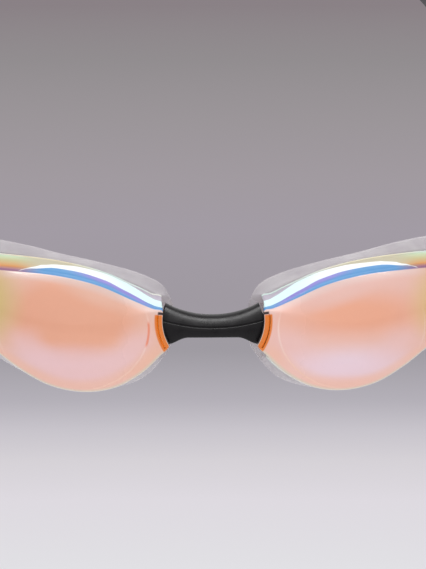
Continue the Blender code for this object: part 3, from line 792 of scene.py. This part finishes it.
def lensMesh(cup, side):
    c = cupShape
    # each ring has its points, its level, and 0 on the face, 1 on the wall or 2 inside
    rings = [(cup.faceRing(share, 0), share, 0) for share in c["faceShares"]]
    rings.append((cup.wallRing(cup.front, 0.0, 0.0), 1.0, 0))
    # share of the bevel, mm towards the bridge at the nose, then depth elsewhere and at the nose
    wallRows = (
        (0.06, 0.04, 0.1, 0.1), (0.16, 0.1, 0.22, 0.25), (0.28, 0.15, 0.4, 0.5), (0.4, 0.14, 0.9, 0.9),
        (0.5, 0.1, 1.6, c["wall"]), (0.58, -0.5, 2.2, c["wall"] + 0.1), (0.67, -1.4, 3.0, c["wall"] + 0.2),
        (0.76, -2.2, 3.8, c["wall"] + 0.3), (0.85, -c["pocket"], 4.6, c["wall"] + 0.4),
        (0.91, -c["pocket"], 5.4, 4.0), (0.96, -c["pocket"], 6.2, 5.6),
    )
    for share, nose, depth, noseDepth in wallRows:
        rings.append((cup.wallRing(cup.offset(share, nose), depth, noseDepth), 1.0 + share, 1))
    rings.append((cup.wallRing(cup.rear(), c["depth"], c["depth"]), 2.0, 1))
    rings.append((cup.wallRing(cup.innerRim(), c["depth"], c["depth"]), 2.2, 2))
    for distance, back in ((c["wall"], 3.6), (c["wall"] + 0.6, 2.0)):
        ring = soften(cup.inset(cup.offset(0.5, -c["pocket"]), distance), c["innerRounding"])
        rings.append((cup.wallRing(ring, back, back), 2.6, 2))
    rings += [(cup.faceRing(share, c["wall"]), 3.0, 2) for share in (0.72, 0.5, 0.25)]
    return loft([ring[0] for ring in rings], "poles", lensValues(cup, rings, side))


def lensValues(cup, rings, side):
    # the numbers that the coating's colours are laid out by, for every point of every ring
    c = cupShape
    tilt = sin(radians(c["viewTilt"]))
    names = ("level", "rise", "wall", "sideWall", "inside", "blueReflectionEdge", "whiteHighlightEdge")
    values = {name: [] for name in names}
    for ring, level, kind in rings:
        rows = {name: [] for name in names}
        for p, n, base in zip(ring, cup.out, cup.front):
            up = smooth(0.2, 0.55, n.y)
            rise = (p.z + p.y * tilt) - (base.y + lensDepth(base.x) * tilt)
            rows["level"].append(min(level, 1.0))
            rows["rise"].append(rise)
            rows["wall"].append(up if kind == 1 else 0.0)
            rows["sideWall"].append(1 - up if kind == 1 else 0.0)
            rows["inside"].append(1.0 if kind == 2 else 0.0)
            across = p.x - lensLook[side]["reach"] * smooth(32, 46, p.x)
            rows["blueReflectionEdge"].append(lookUp(c["blueReflectionEdge"], across) - rise)
            rows["whiteHighlightEdge"].append(lookUp(c["whiteHighlightEdge"], across) - rise)
        for name in names:
            values[name].append(rows[name])
    return values


def seatMesh(cup):
    c = cupShape
    rear = cup.rear()
    inner = cup.innerRim()
    front = c["depth"] + c["gap"]
    back = front + c["ringDepth"]
    outer = [p + n * c["ringProud"] for p, n in zip(rear, cup.out)]
    nearly = [p + n * (c["ringProud"] - 0.1) for p, n in zip(rear, cup.out)]
    rows = (
        (inner, front), (rear, front), (nearly, front + 0.25), (outer, front + 0.45),
        (outer, back - 0.2), (nearly, back), (inner, back),
    )
    return loft([cup.wallRing(points, y, y) for points, y in rows], "tube")


sealShape = {
    # share of the way from the lens to the lip, distance in from its edge, and distance forward
    "profile": (
        (0.0, 2.1, 0.0), (0.0, 0.0, 0.0), (0.55, 0.0, 1.2), (1.0, 0.0, 1.6), (1.0, 0.3, 0.3),
        (1.0, 1.4, 0.0), (1.0, 3.6, 0.7), (1.0, 3.4, 1.9), (1.0, 2.4, 2.3), (0.5, 2.0, 1.4),
    ),
    "perSpan": 3,
    "rounding": 9,      # times that the lip is evened out, for each mm in from its edge
}


def sealMesh(cup):
    c = cupShape
    neck = [p + n * c["ringProud"] / 2 for p, n in zip(cup.rear(), cup.out)]
    front = c["depth"] + c["ringDepth"] + 2 * c["gap"]
    rings = []
    for share, inward, forward in closedCurve(sealShape["profile"], sealShape["perSpan"]):
        share = min(max(share, 0.0), 1.0)
        points = cup.inset([q.lerp(p, share) for p, q in zip(cup.lip, neck)], inward)
        points = soften(points, int(sealShape["rounding"] * inward))
        ring = []
        for r, p, q in zip(points, cup.lip, neck):
            depth = mix(lensDepth(q.x) + front, sealDepth(p.x), share)
            ring.append(Vector((r.x, depth - forward, r.y)))
        rings.append(ring)
    return loft(rings, "tube")


# nose bridge and its two inserts

bridgeShape = {
    "endRadius": 12.0,
    "endCentre": 0.75,
    "tongue": 0.33,         # how much further its ends reach in their lower part
    "front": -11.5,
    "depth": 5.2,
    "arch": 0.7,            # how far its middle stands forward
    "sections": 48,
}


def bridgeEnd(height):
    # how far out the bridge's curved end is at a height
    b = bridgeShape
    radius = mix(b["endRadius"] + b["tongue"], b["endRadius"] - 0.4, smooth(1.2, 2.0, height))
    return b["endCentre"] + sqrt(radius ** 2 - height ** 2)


def bridgeMesh():
    b = bridgeShape
    rings = []
    for i in range(b["sections"] + 1):
        share = 2 * i / b["sections"] - 1       # from -1 at one end to 1 at the other
        lean = share ** 2
        top = 1.25 + 2.85 * lean
        crease = -1.65 + 1.9 * lean
        low = -4.5 - 1.7 * smooth(0.5, 1.0, abs(share))
        front = b["front"] - b["arch"] * (1 - lean)
        back = front + b["depth"] - 0.8 * (1 - lean)
        # up the lower face, over the groove at the crease and the sloping upper face, and down the back
        profile = [
            (front + 0.35, low + 0.12), (front + 0.08, low + 0.5),
            (front, low + 1.0), (front, mix(low, crease, 0.5)),
            (front, crease - 0.6), (front + 0.05, crease - 0.48), (front + 0.16, crease - 0.4),
            (front + 0.36, crease - 0.35), (front + 0.38, crease - 0.12), (front + 0.24, crease - 0.02),
            (front + 0.28, crease + 0.15),
            (front + 0.45, mix(crease, top, 0.2)), (front + 0.75, mix(crease, top, 0.45)),
            (front + 1.15, mix(crease, top, 0.68)), (front + 1.65, mix(crease, top, 0.86)),
            (front + 2.2, top - 0.12), (front + 2.9, top),
            (back - 0.9, top - 0.12), (back - 0.2, top - 0.45), (back, top - 1.0),
            (back, mix(low, top, 0.5)), (back, low + 1.0), (back - 0.3, low + 0.35), (back - 0.9, low + 0.08),
            (front + 1.6, low), (front + 0.8, low + 0.02),
        ]
        rings.append([Vector((share * bridgeEnd(z), y, z)) for y, z in profile])
    return loft(rings)


insertShape = {
    "inner": 12.8, "outer": 14.1, "front": -11.6, "depth": 4.0, "top": 10.0, "bottom": -32.0, "steps": 24,
}


def insertMesh():
    c = insertShape
    rings = []
    for i in range(c["steps"] + 1):
        angle = radians(mix(c["top"], c["bottom"], i / c["steps"]))
        y0, y1 = c["front"], c["front"] + c["depth"]
        r0, r1 = c["inner"], c["outer"]
        ring = []
        for r, y in (
            (r0 + 0.2, y0), (r1 - 0.2, y0), (r1 - 0.06, y0 + 0.06), (r1, y0 + 0.2),
            (r1, y1 - 0.1), (r1 - 0.1, y1), (r0 + 0.1, y1), (r0, y1 - 0.1), (r0, y0 + 0.2),
            (r0 + 0.06, y0 + 0.06),
        ):
            ring.append(Vector((bridgeShape["endCentre"] + r * cos(angle), y, r * sin(angle))))
        rings.append(ring)
    return loft(rings)


# clips, straps and clasp

strapShape = {
    "pivot": (75.5, 10.0, 8.0),     # the middle of the clip's pin
    "climb": 31.5,                  # of the strap towards the crown, in degrees
    # places on the strap are along it and across it from the pin; depths are from the middle of the head
    "clipDepth": (74.5, 77.1),
    "clipMiddle": (14.5, 0.0),
    "clipEdge": 0.45,
    "grips": (-8.4, 8.4),
    "gripAlong": (12.6, 17.4),
    "clip": ((5.65, 4.05), (11.0, 9.5), (19.0, 9.5), (19.0, -9.5), (9.0, -9.5), (-1.04, -6.87)),
    "slot": ((13.0, -7.4), (16.0, -7.4), (16.0, 7.4), (13.0, 7.4)),
    "ears": ((3.9, 6.4), (-6.4, -3.9)),
    "barrel": 2.2,
    "pin": 1.0,
    "lever": ((6.0, -4.5), (12.9, -5.0), (12.9, 5.0), (6.0, 4.5)),
    "leverDepth": (77.4, 79.0),
    "leverCorner": 1.3,
    "leverEdge": 0.4,
    "leverRibs": (8.6, 9.9, 11.2),
    "leverRibHalf": 3.4,
    # the yoke's middle line: along the strap, and its depth
    "hook": (
        (24.3, 73.9), (20.0, 73.55), (17.0, 73.3), (15.4, 73.35), (14.75, 73.9), (14.5, 75.0), (14.5, 76.6),
        (14.75, 77.7), (15.4, 78.25), (17.0, 78.3), (22.0, 78.3), (28.0, 78.25), (33.0, 78.15),
    ),
    "yokeSteps": 90,
    "yokeHalf": 7.1,
    "yokeThick": 1.8,
    "collar": 2.7,                  # how thick the yoke gets where the bands leave it
    "collarAlong": (19.5, 22.5),
    "collarSteps": 40,
    "tailRidges": (19.5, 22.0, 24.5, 27.0, 29.5),
    "tailDepth": (79.0, 79.45),
    "tailHalf": 5.6,
    "bandWidth": 6.4,
    "bandThick": 2.2,
    "bandGroove": 0.3,
    "bandStart": 22.6,
    "bandStop": 3.5,
    "bandSteps": 200,
    "bandSpread": 8.6,              # how far apart the bands are at the yoke, then at the clasp
    "rearSpread": 21.0,
    "head": (                       # the head's outline from above, from temple to back
        (73.0, 22.0), (76.2, 48.0), (78.0, 76.0), (77.8, 103.0), (73.4, 127.0),
        (63.0, 148.0), (48.0, 163.2), (32.0, 170.9), (21.0, 172.5), (0.0, 172.5),
    ),
    # the arm's sections: place out and back, then half its thickness and height
    "arm": ((70.9, 7.2, 0.9, 4.6), (72.6, 7.4, 1.1, 4.2), (74.2, 8.6, 1.2, 3.2), (75.3, 9.6, 1.2, 2.8)),
    "armBarrel": 3.6,
}
pivot = Vector(strapShape["pivot"])
climb = radians(strapShape["climb"])

claspShape = {
    "half": 20.0,
    "low": 98.48,
    "high": 129.08,
    "base": (168.9, 170.9),
    "cover": (174.1, 176.1),
    "axis": (172.5, 131.68),
    "corner": 4.0,
    "edge": 0.6,
    "boss": (17.0, 107.18, 120.38),     # half its width, then its bottom and top
    "barrel": 2.0,
    "pin": 0.9,
    "knuckle": 7.7,
    "ears": ((-12.0, -8.0), (8.0, 12.0)),
    "ribs": (103.5, 106.0, 108.5, 111.0, 113.5),
    "ribHalf": 11.0,
}
pinHead = {"wider": 0.45, "tall": 0.5, "seated": 0.1, "edge": 0.2, "pinEdge": 0.15}


def rounded(corners, radius, steps=6):
    # a polygon with its corners turned into small curves
    outline = []
    points = [Vector(c) for c in corners]
    for i, p in enumerate(points):
        a, b = points[i - 1], points[(i + 1) % len(points)]
        start = p + (a - p).normalized() * radius
        end = p + (b - p).normalized() * radius
        for k in range(steps + 1):
            t = k / steps
            outline.append(start.lerp(p, t).lerp(p.lerp(end, t), t))
    return outline


def rayOutline(corners, centre):
    # where evenly turned rays from the centre meet a polygon
    points = [Vector(c) - centre for c in corners]
    outline = []
    count = 144
    for i in range(count):
        way = Vector((cos(2 * pi * i / count), sin(2 * pi * i / count)))
        best = None
        for p, q in zip(points, points[1:] + points[:1]):
            edge = q - p
            cross = way.x * edge.y - way.y * edge.x
            if abs(cross) < 1e-9:
                continue
            far = (p.x * edge.y - p.y * edge.x) / cross
            t = (p.x * way.y - p.y * way.x) / cross
            if far > 0 and -1e-6 <= t <= 1 + 1e-6:
                best = far if best is None else min(best, far)
        outline.append(centre + way * best)
    return soften(outline, 2)


def shrunk(outline, distance):
    middle = sum(outline, Vector((0, 0))) / len(outline)
    return [p + (middle - p).normalized() * distance for p in outline]


def roundOver(edge, *angles):
    # how far in and how far down a rounded edge is at each angle
    return [(edge * (1 - sin(radians(a))), edge * (1 - cos(radians(a)))) for a in angles]


def slab(outline, low, high, edge, toPoint):
    # a plate with rounded edges; toPoint places a point of its outline at a depth
    rows = [(inward, low + down) for inward, down in roundOver(edge, 0, 30, 60, 90)]
    rows += [(inward, high - down) for inward, down in roundOver(edge, 90, 60, 30, 0)]
    return loft([[toPoint(p, depth) for p in shrunk(outline, inward)] for inward, depth in rows])


def onStrap(point, depth):
    # a point along and across the strap, at a distance from the middle of the head
    a, t = point
    y = pivot.y + a * cos(climb) - t * sin(climb)
    z = pivot.z + a * sin(climb) + t * cos(climb)
    return Vector((depth, y, z))


def onBack(point, depth):
    return Vector((point[0], depth, point[1]))


def block(low, high, edge):
    # a box between two corners, with rounded edges
    bm = bmesh.new()
    bmesh.ops.create_cube(bm, size=1.0)
    low, high = Vector(low), Vector(high)
    bmesh.ops.scale(bm, verts=bm.verts, vec=high - low)
    bmesh.ops.translate(bm, verts=bm.verts, vec=(low + high) / 2)
    bmesh.ops.bevel(bm, geom=bm.edges[:], offset=edge, affect="EDGES", segments=3, profile=0.5, material=-1)
    bmesh.ops.scale(bm, verts=bm.verts, vec=(mm, mm, mm))
    return bm


def drum(radius, low, high, place, axis="Z", edge=0.25):
    # a cylinder with rounded rims
    bm = bmesh.new()
    bmesh.ops.create_cone(bm, cap_ends=True, segments=48, radius1=radius, radius2=radius, depth=high - low)
    rims = [e for e in bm.edges if abs(e.verts[0].co.z - e.verts[1].co.z) < 1e-6]
    bmesh.ops.bevel(bm, geom=rims, offset=edge, affect="EDGES", segments=3, profile=0.5, material=-1)
    bmesh.ops.translate(bm, verts=bm.verts, vec=(0, 0, (low + high) / 2))
    if axis == "X":
        bmesh.ops.rotate(bm, verts=bm.verts, matrix=Matrix.Rotation(pi / 2, 3, "Y"))
    bmesh.ops.translate(bm, verts=bm.verts, vec=place)
    bmesh.ops.scale(bm, verts=bm.verts, vec=(mm, mm, mm))
    return bm


def headedPin(radius, half, place, axis="Z"):
    # a pin with a low head at each end
    h = pinHead
    wide = radius + h["wider"]
    low, high = half - h["seated"], half - h["seated"] + h["tall"]
    return join(
        drum(radius, -half, half, place, axis, h["pinEdge"]),
        drum(wide, low, high, place, axis, h["edge"]),
        drum(wide, -high, -low, place, axis, h["edge"]),
    )


def turnedToStrap(bm):
    # from along, across and depth as y, z and x to their place on the strap
    bmesh.ops.rotate(bm, verts=bm.verts, matrix=Matrix.Rotation(climb, 3, "X"))
    bmesh.ops.translate(bm, verts=bm.verts, vec=(0, pivot.y * mm, pivot.z * mm))
    return bm


def clipMesh():
    c = strapShape
    centre = Vector(c["clipMiddle"])
    outer = rayOutline(c["clip"], centre)
    inner = rayOutline(c["slot"], centre)
    edge = c["clipEdge"]
    low, high = c["clipDepth"]
    # up the outside, over the top, down through the slot and back
    rows = [(outer, -a, low + b) for a, b in roundOver(edge, 0, 30, 60, 90)]
    rows += [(outer, -a, high - b) for a, b in roundOver(edge, 90, 60, 30, 0)]
    rows += [(inner, a, high - b) for a, b in roundOver(edge, 0, 45, 90)]
    rows += [(inner, a, low + b) for a, b in roundOver(edge, 90, 45, 0)]
    rings = []
    for outline, grow, depth in rows:
        rings.append([onStrap(p + (p - centre).normalized() * grow, depth) for p in outline])
    parts = [loft(rings, "tube")]
    for a, b in c["ears"]:
        bottom, top = pivot.z + a, pivot.z + b
        parts.append(drum(c["barrel"], bottom, top, (pivot.x, pivot.y, 0)))
        near = (low + 0.1, pivot.y + 0.4, bottom + 0.05)
        parts.append(block(near, (high - 0.1, pivot.y + 4.4, top - 0.05), 0.3))
    start, stop = c["gripAlong"]
    for across in c["grips"]:       # ridges beside the slot
        near = (high - 0.3, start, across - 0.35)
        parts.append(turnedToStrap(block(near, (high + 0.3, stop, across + 0.35), 0.25)))
    return join(*parts)


def leverMesh():
    c = strapShape
    low, high = c["leverDepth"]
    half = c["leverRibHalf"]
    parts = [slab(rounded(c["lever"], c["leverCorner"]), low, high, c["leverEdge"], onStrap)]
    for along in c["leverRibs"]:
        near = (high - 0.3, along - 0.3, -half)
        parts.append(turnedToStrap(block(near, (high + 0.32, along + 0.3, half), 0.26)))
    return join(*parts)


def sectionRing(centre, out, up, half, thick, edge, groove=0.0):
    # a flat strap's rounded section, with an optional groove along its outer face
    w, h = half, thick / 2
    points = []
    for right, top, start in ((1, 1, 0), (-1, 1, 90), (-1, -1, 180), (1, -1, 270)):
        cx, cy = right * (w - edge), top * (h - edge)
        for k in range(4):
            a = radians(start + 30 * k)
            points.append((cx + edge * cos(a), cy + edge * sin(a)))
        if start == 0:
            points += [(0.36 * w, h), (0.26 * w, h - groove), (-0.26 * w, h - groove), (-0.36 * w, h)]
        if start == 180:
            points += [(-0.3 * w, -h), (0.3 * w, -h)]
    return [centre + up * a + out * b for a, b in points]


def yokeMesh():
    c = strapShape
    path = openCurve(c["hook"], c["yokeSteps"])
    rings = []
    for i, p in enumerate(path):
        before, after = path[max(i - 1, 0)], path[min(i + 1, len(path) - 1)]
        along = (after - before).normalized()
        thick = c["yokeThick"]
        if i < c["collarSteps"]:
            thick = mix(thick, c["collar"], smooth(*c["collarAlong"], p[0]))
        half = c["yokeHalf"]
        if i in (0, len(path) - 1):     # both ends are a little smaller
            thick, half = thick - 0.5, half - 0.3
        centre = onStrap((p[0], 0), p[1])
        way = onStrap((p[0] + along[0], 0), p[1] + along[1]) - centre
        up = onStrap((p[0], 1), p[1]) - centre
        out = way.cross(up).normalized()
        rings.append(sectionRing(centre, out, up, half, thick, 0.5))
    parts = [loft(rings)]
    low, high = c["tailDepth"]
    half = c["tailHalf"]
    for along in c["tailRidges"]:
        parts.append(turnedToStrap(block((low, along - 0.4, -half), (high, along + 0.4, half), 0.2)))
    return join(*parts)


def strapHeight(y):
    return pivot.z + (y - pivot.y) * sin(climb) / cos(climb)


def bandMesh(upper):
    # one band, from inside the yoke to inside the clasp
    c = strapShape
    count = c["bandSteps"]
    points = []
    for i, p in enumerate(openCurve(c["head"], count)):
        lift = -c["bandSpread"] / 2
        if upper:
            lift = c["bandSpread"] / 2 + (c["rearSpread"] - c["bandSpread"]) * smooth(0, 1, i / (count - 1))
        points.append(Vector((p[0], p[1], strapHeight(p[1]) + lift)))

    def along(p):
        return (p.y - pivot.y) * cos(climb) + (p.z - pivot.z) * sin(climb)

    points = [p for p in points if along(p) > c["bandStart"] and p.x > c["bandStop"] + 0.4]
    points.append(Vector((c["bandStop"], points[-1].y, points[-1].z)))
    rings = []
    for i, p in enumerate(points):
        before, after = points[max(i - 1, 0)], points[min(i + 1, len(points) - 1)]
        way = (after - before).normalized()
        out = Vector((way.y, -way.x, 0)).normalized()
        up = out.cross(way).normalized()
        inset = 0.3 if i in (0, len(points) - 1) else 0.0
        rings.append(sectionRing(
            p, out, up, c["bandWidth"] / 2 - inset, c["bandThick"] - 2 * inset, 0.6, c["bandGroove"]
        ))
    return loft(rings)


def armMesh():
    c = strapShape
    rings = []
    for x, y, thick, tall in openCurve(c["arm"], 16):
        ring = []
        for d, z in rounded(((-thick, -tall), (thick, -tall), (thick, tall), (-thick, tall)), 0.55, 4):
            ring.append(Vector((x - 0.6 * d, y + d, pivot.z + z)))
        rings.append(ring)
    half = c["armBarrel"]
    return join(loft(rings), drum(c["barrel"], pivot.z - half, pivot.z + half, (pivot.x, pivot.y, 0)))


def pinMesh():
    return headedPin(strapShape["pin"], strapShape["ears"][0][1], pivot)


def claspPlate(high, depths):
    # one of the clasp's two plates
    c = claspShape
    half, low = c["half"], c["low"]
    outline = rounded(((-half, low), (half, low), (half, high), (-half, high)), c["corner"])
    return slab(outline, *depths, c["edge"], onBack)


def claspBaseMesh():
    c = claspShape
    parts = [claspPlate(c["high"], c["base"])]
    wide, bottom, top = c["boss"]
    parts.append(block((-wide, c["base"][1] - 0.4, bottom), (wide, c["cover"][0] - 0.5, top), 0.5))
    y, z = c["axis"]
    for x0, x1 in c["ears"]:
        parts.append(drum(c["barrel"], x0, x1, (0, y, z), "X"))
        parts.append(block((x0 + 0.05, c["base"][0] + 0.1, c["high"] - 1.6), (x1 - 0.05, y, z), 0.3))
    return join(*parts)


def claspCoverMesh():
    c = claspShape
    high = c["high"] - 0.4
    outer = c["cover"][1]
    parts = [claspPlate(high, c["cover"])]
    half = c["ribHalf"]
    for z in c["ribs"]:
        parts.append(block((-half, outer - 0.5, z - 0.55), (half, outer + 0.45, z + 0.55), 0.4))
    y, z = c["axis"]
    half = c["knuckle"]
    parts.append(drum(c["barrel"], -half, half, (0, y, z), "X"))
    parts.append(block((-half + 0.1, y, high - 1.6), (half - 0.1, outer - 0.1, z), 0.3))
    return join(*parts)


def claspPinMesh():
    c = claspShape
    return headedPin(c["pin"], c["ears"][1][1], (0, *c["axis"]), "X")


# camera, floor and light

cameraLook = {
    "target": (0.0, -0.0115, 0.0089),
    "distance": 0.95,
    "azimuth": -3.5,
    "elevation": 5.0,
    "frameHeight": 0.14225,      # of the frame at the target, in metres
}


def addCamera():
    data = bpy.data.cameras.new("camera")
    data.sensor_width = 36
    data.lens = data.sensor_width * cameraLook["distance"] / cameraLook["frameHeight"]
    camera = bpy.data.objects.new("camera", data)
    a, e = radians(cameraLook["azimuth"]), radians(cameraLook["elevation"])
    back = Vector((sin(a) * cos(e), -cos(a) * cos(e), sin(e)))
    camera.location = Vector(cameraLook["target"]) + back * cameraLook["distance"]
    camera.rotation_mode = "QUATERNION"
    camera.rotation_quaternion = (-back).to_track_quat("-Z", "Y")
    data.clip_start, data.clip_end = 0.01, 200
    bpy.context.scene.collection.objects.link(camera)
    bpy.context.scene.camera = camera


floorLook = {
    "height": -0.30,
    "radius": 60.0,
    # distance from the middle in metres, the shade the floor should show there, and the paint's gain; paler
    # near the middle and darker far off, a painted pool of light
    "shades": (
        (1.46, (228, 228, 230), 1.06), (1.75, (225, 222, 226), 1.14), (1.96, (217, 214, 217), 1.17),
        (2.15, (203, 200, 205), 1.19), (2.35, (182, 179, 185), 1.22), (2.77, (160, 157, 162), 1.23),
        (3.3, (160, 155, 161), 1.24), (4.4, (163, 157, 164), 1.24), (5.6, (162, 156, 160), 1.24),
        (7.9, (156, 151, 153), 1.24), (12.8, (146, 142, 143), 1.25), (27.0, (138, 130, 133), 1.25),
    ),
}


def addFloor():
    bm = bmesh.new()
    bmesh.ops.create_circle(bm, cap_ends=True, segments=96, radius=floorLook["radius"])
    bmesh.ops.translate(bm, verts=bm.verts, vec=(0, 0, floorLook["height"]))
    mesh = bpy.data.meshes.new("floor")
    bm.to_mesh(mesh)
    bm.free()
    floor = bpy.data.objects.new("floor", mesh)
    bpy.context.scene.collection.objects.link(floor)
    made, s = paint("floorPaint")
    split = s.node("SeparateXYZ", Vector=s.place()).outputs
    far = s.length(split["X"], split["Y"])
    # the ramp is spread by the logarithm of distance
    shades = floorLook["shades"]
    low, high = shades[0][0], shades[-1][0]
    t = s.maths("LOGARITHM", s.maths("MAXIMUM", s.maths("DIVIDE", far, low), 1.0), high / low)
    rows = []
    for distance, shade, gain in shades:
        rows.append((log(distance / low) / log(high / low), (*(c * gain for c in tone(*shade)[:3]), 1)))
    # painted pool of light: the floor's colour is paler near the middle and darker far away
    s.set("Base Color", s.ramp(t, rows))
    s.set("Roughness", 0.9)
    s.set("Specular IOR Level", 0.0)
    mesh.materials.append(made)


lightLook = {
    "world": (0.8, 0.79, 0.81),
    "worldStrength": 1.0,
    "lights": (
        # name, place, aims at, width and height, power, and whether it lights up and is mirrored
        ("topBox", (0.0, 0.55, 0.85), (0, 0, 0), (1.5, 1.3), 7.0, True, True),
        ("frontStrip", (0.0, -0.55, 0.8), (0, 0, 0), (1.2, 0.3), 13.0, False, True),
        ("frontFill", (0.0, -1.5, 0.35), (0, 0, 0), (1.6, 1.2), 6.2, True, False),
    ),
}


def addLights():
    world = bpy.data.worlds.new("softRoom")
    world.use_nodes = True
    ground = world.node_tree.nodes["Background"]
    ground.inputs[0].default_value = (*lightLook["world"], 1)
    ground.inputs[1].default_value = lightLook["worldStrength"]
    bpy.context.scene.world = world
    for name, place, aim, size, power, diffuse, glossy in lightLook["lights"]:
        data = bpy.data.lights.new(name, "AREA")
        data.shape = "RECTANGLE"
        data.size, data.size_y = size
        data.energy = power
        lamp = bpy.data.objects.new(name, data)
        lamp.location = place
        lamp.visible_diffuse = diffuse
        lamp.visible_glossy = glossy
        lamp.rotation_mode = "QUATERNION"
        lamp.rotation_quaternion = (Vector(aim) - Vector(place)).to_track_quat("-Z", "Y")
        bpy.context.scene.collection.objects.link(lamp)


# build

addCamera()
addFloor()
addLights()
print("camera, floor and lights ready")

black = blackPaint("satinBlack", blackLook)
bridgeBlack = blackPaint("bridgeBlack", bridgeLook)
orange = orangePaint()
silicone = strapPaint()
seal = sealPaint()
seat = seatPaint()
smoked = armPaint()
steel = steelPaint()

cup = Cup()
for side, sign in sides.items():
    body = side + "_cup"
    lens = lensMesh(cup, side)
    piece(side + "_mirror_lens", lens, lensPaint(side), body, sign, side + "_lens", 40)
    piece(side + "_clear_ring", seatMesh(cup), seat, body, sign, side + "_seat_ring")
    piece(side + "_seal", sealMesh(cup), seal, body, sign, side + "_gasket", 60)
    piece(side + "_insert", insertMesh(), orange, body, sign, side + "_bridge_insert")
piece("bridge", bridgeMesh(), bridgeBlack, "bridge", 1, "nose_bridge", 50)
print("eyecups and bridge ready")

for side, sign in sides.items():
    strap = side + "_strap"
    piece(side + "_arm", armMesh(), smoked, side + "_cup", sign, side + "_temple_arm")
    piece(side + "_clip", clipMesh(), black, strap, sign, side + "_strap_clip")
    piece(side + "_pin", pinMesh(), steel, strap, sign, side + "_clip_pin")
    lever = side + "_lever"
    piece(lever + "_tab", leverMesh(), orange, lever, sign, side + "_clip_lever")
    piece(side + "_yoke", yokeMesh(), silicone, strap, sign, side + "_strap_yoke")
    for label in ("upper", "lower"):
        name = f"{side}_{label}_band"
        piece(name + "_strap", bandMesh(label == "upper"), silicone, strap, sign, name)
print("clips and straps ready")

piece("clasp_plate", claspBaseMesh(), black, "left_strap", 1, "clasp_base")
piece("clasp_lid", claspCoverMesh(), black, "clasp_cover", 1, "clasp_cover")
piece("clasp_hinge_pin", claspPinMesh(), steel, "left_strap", 1, "clasp_pin")
print("clasp ready")
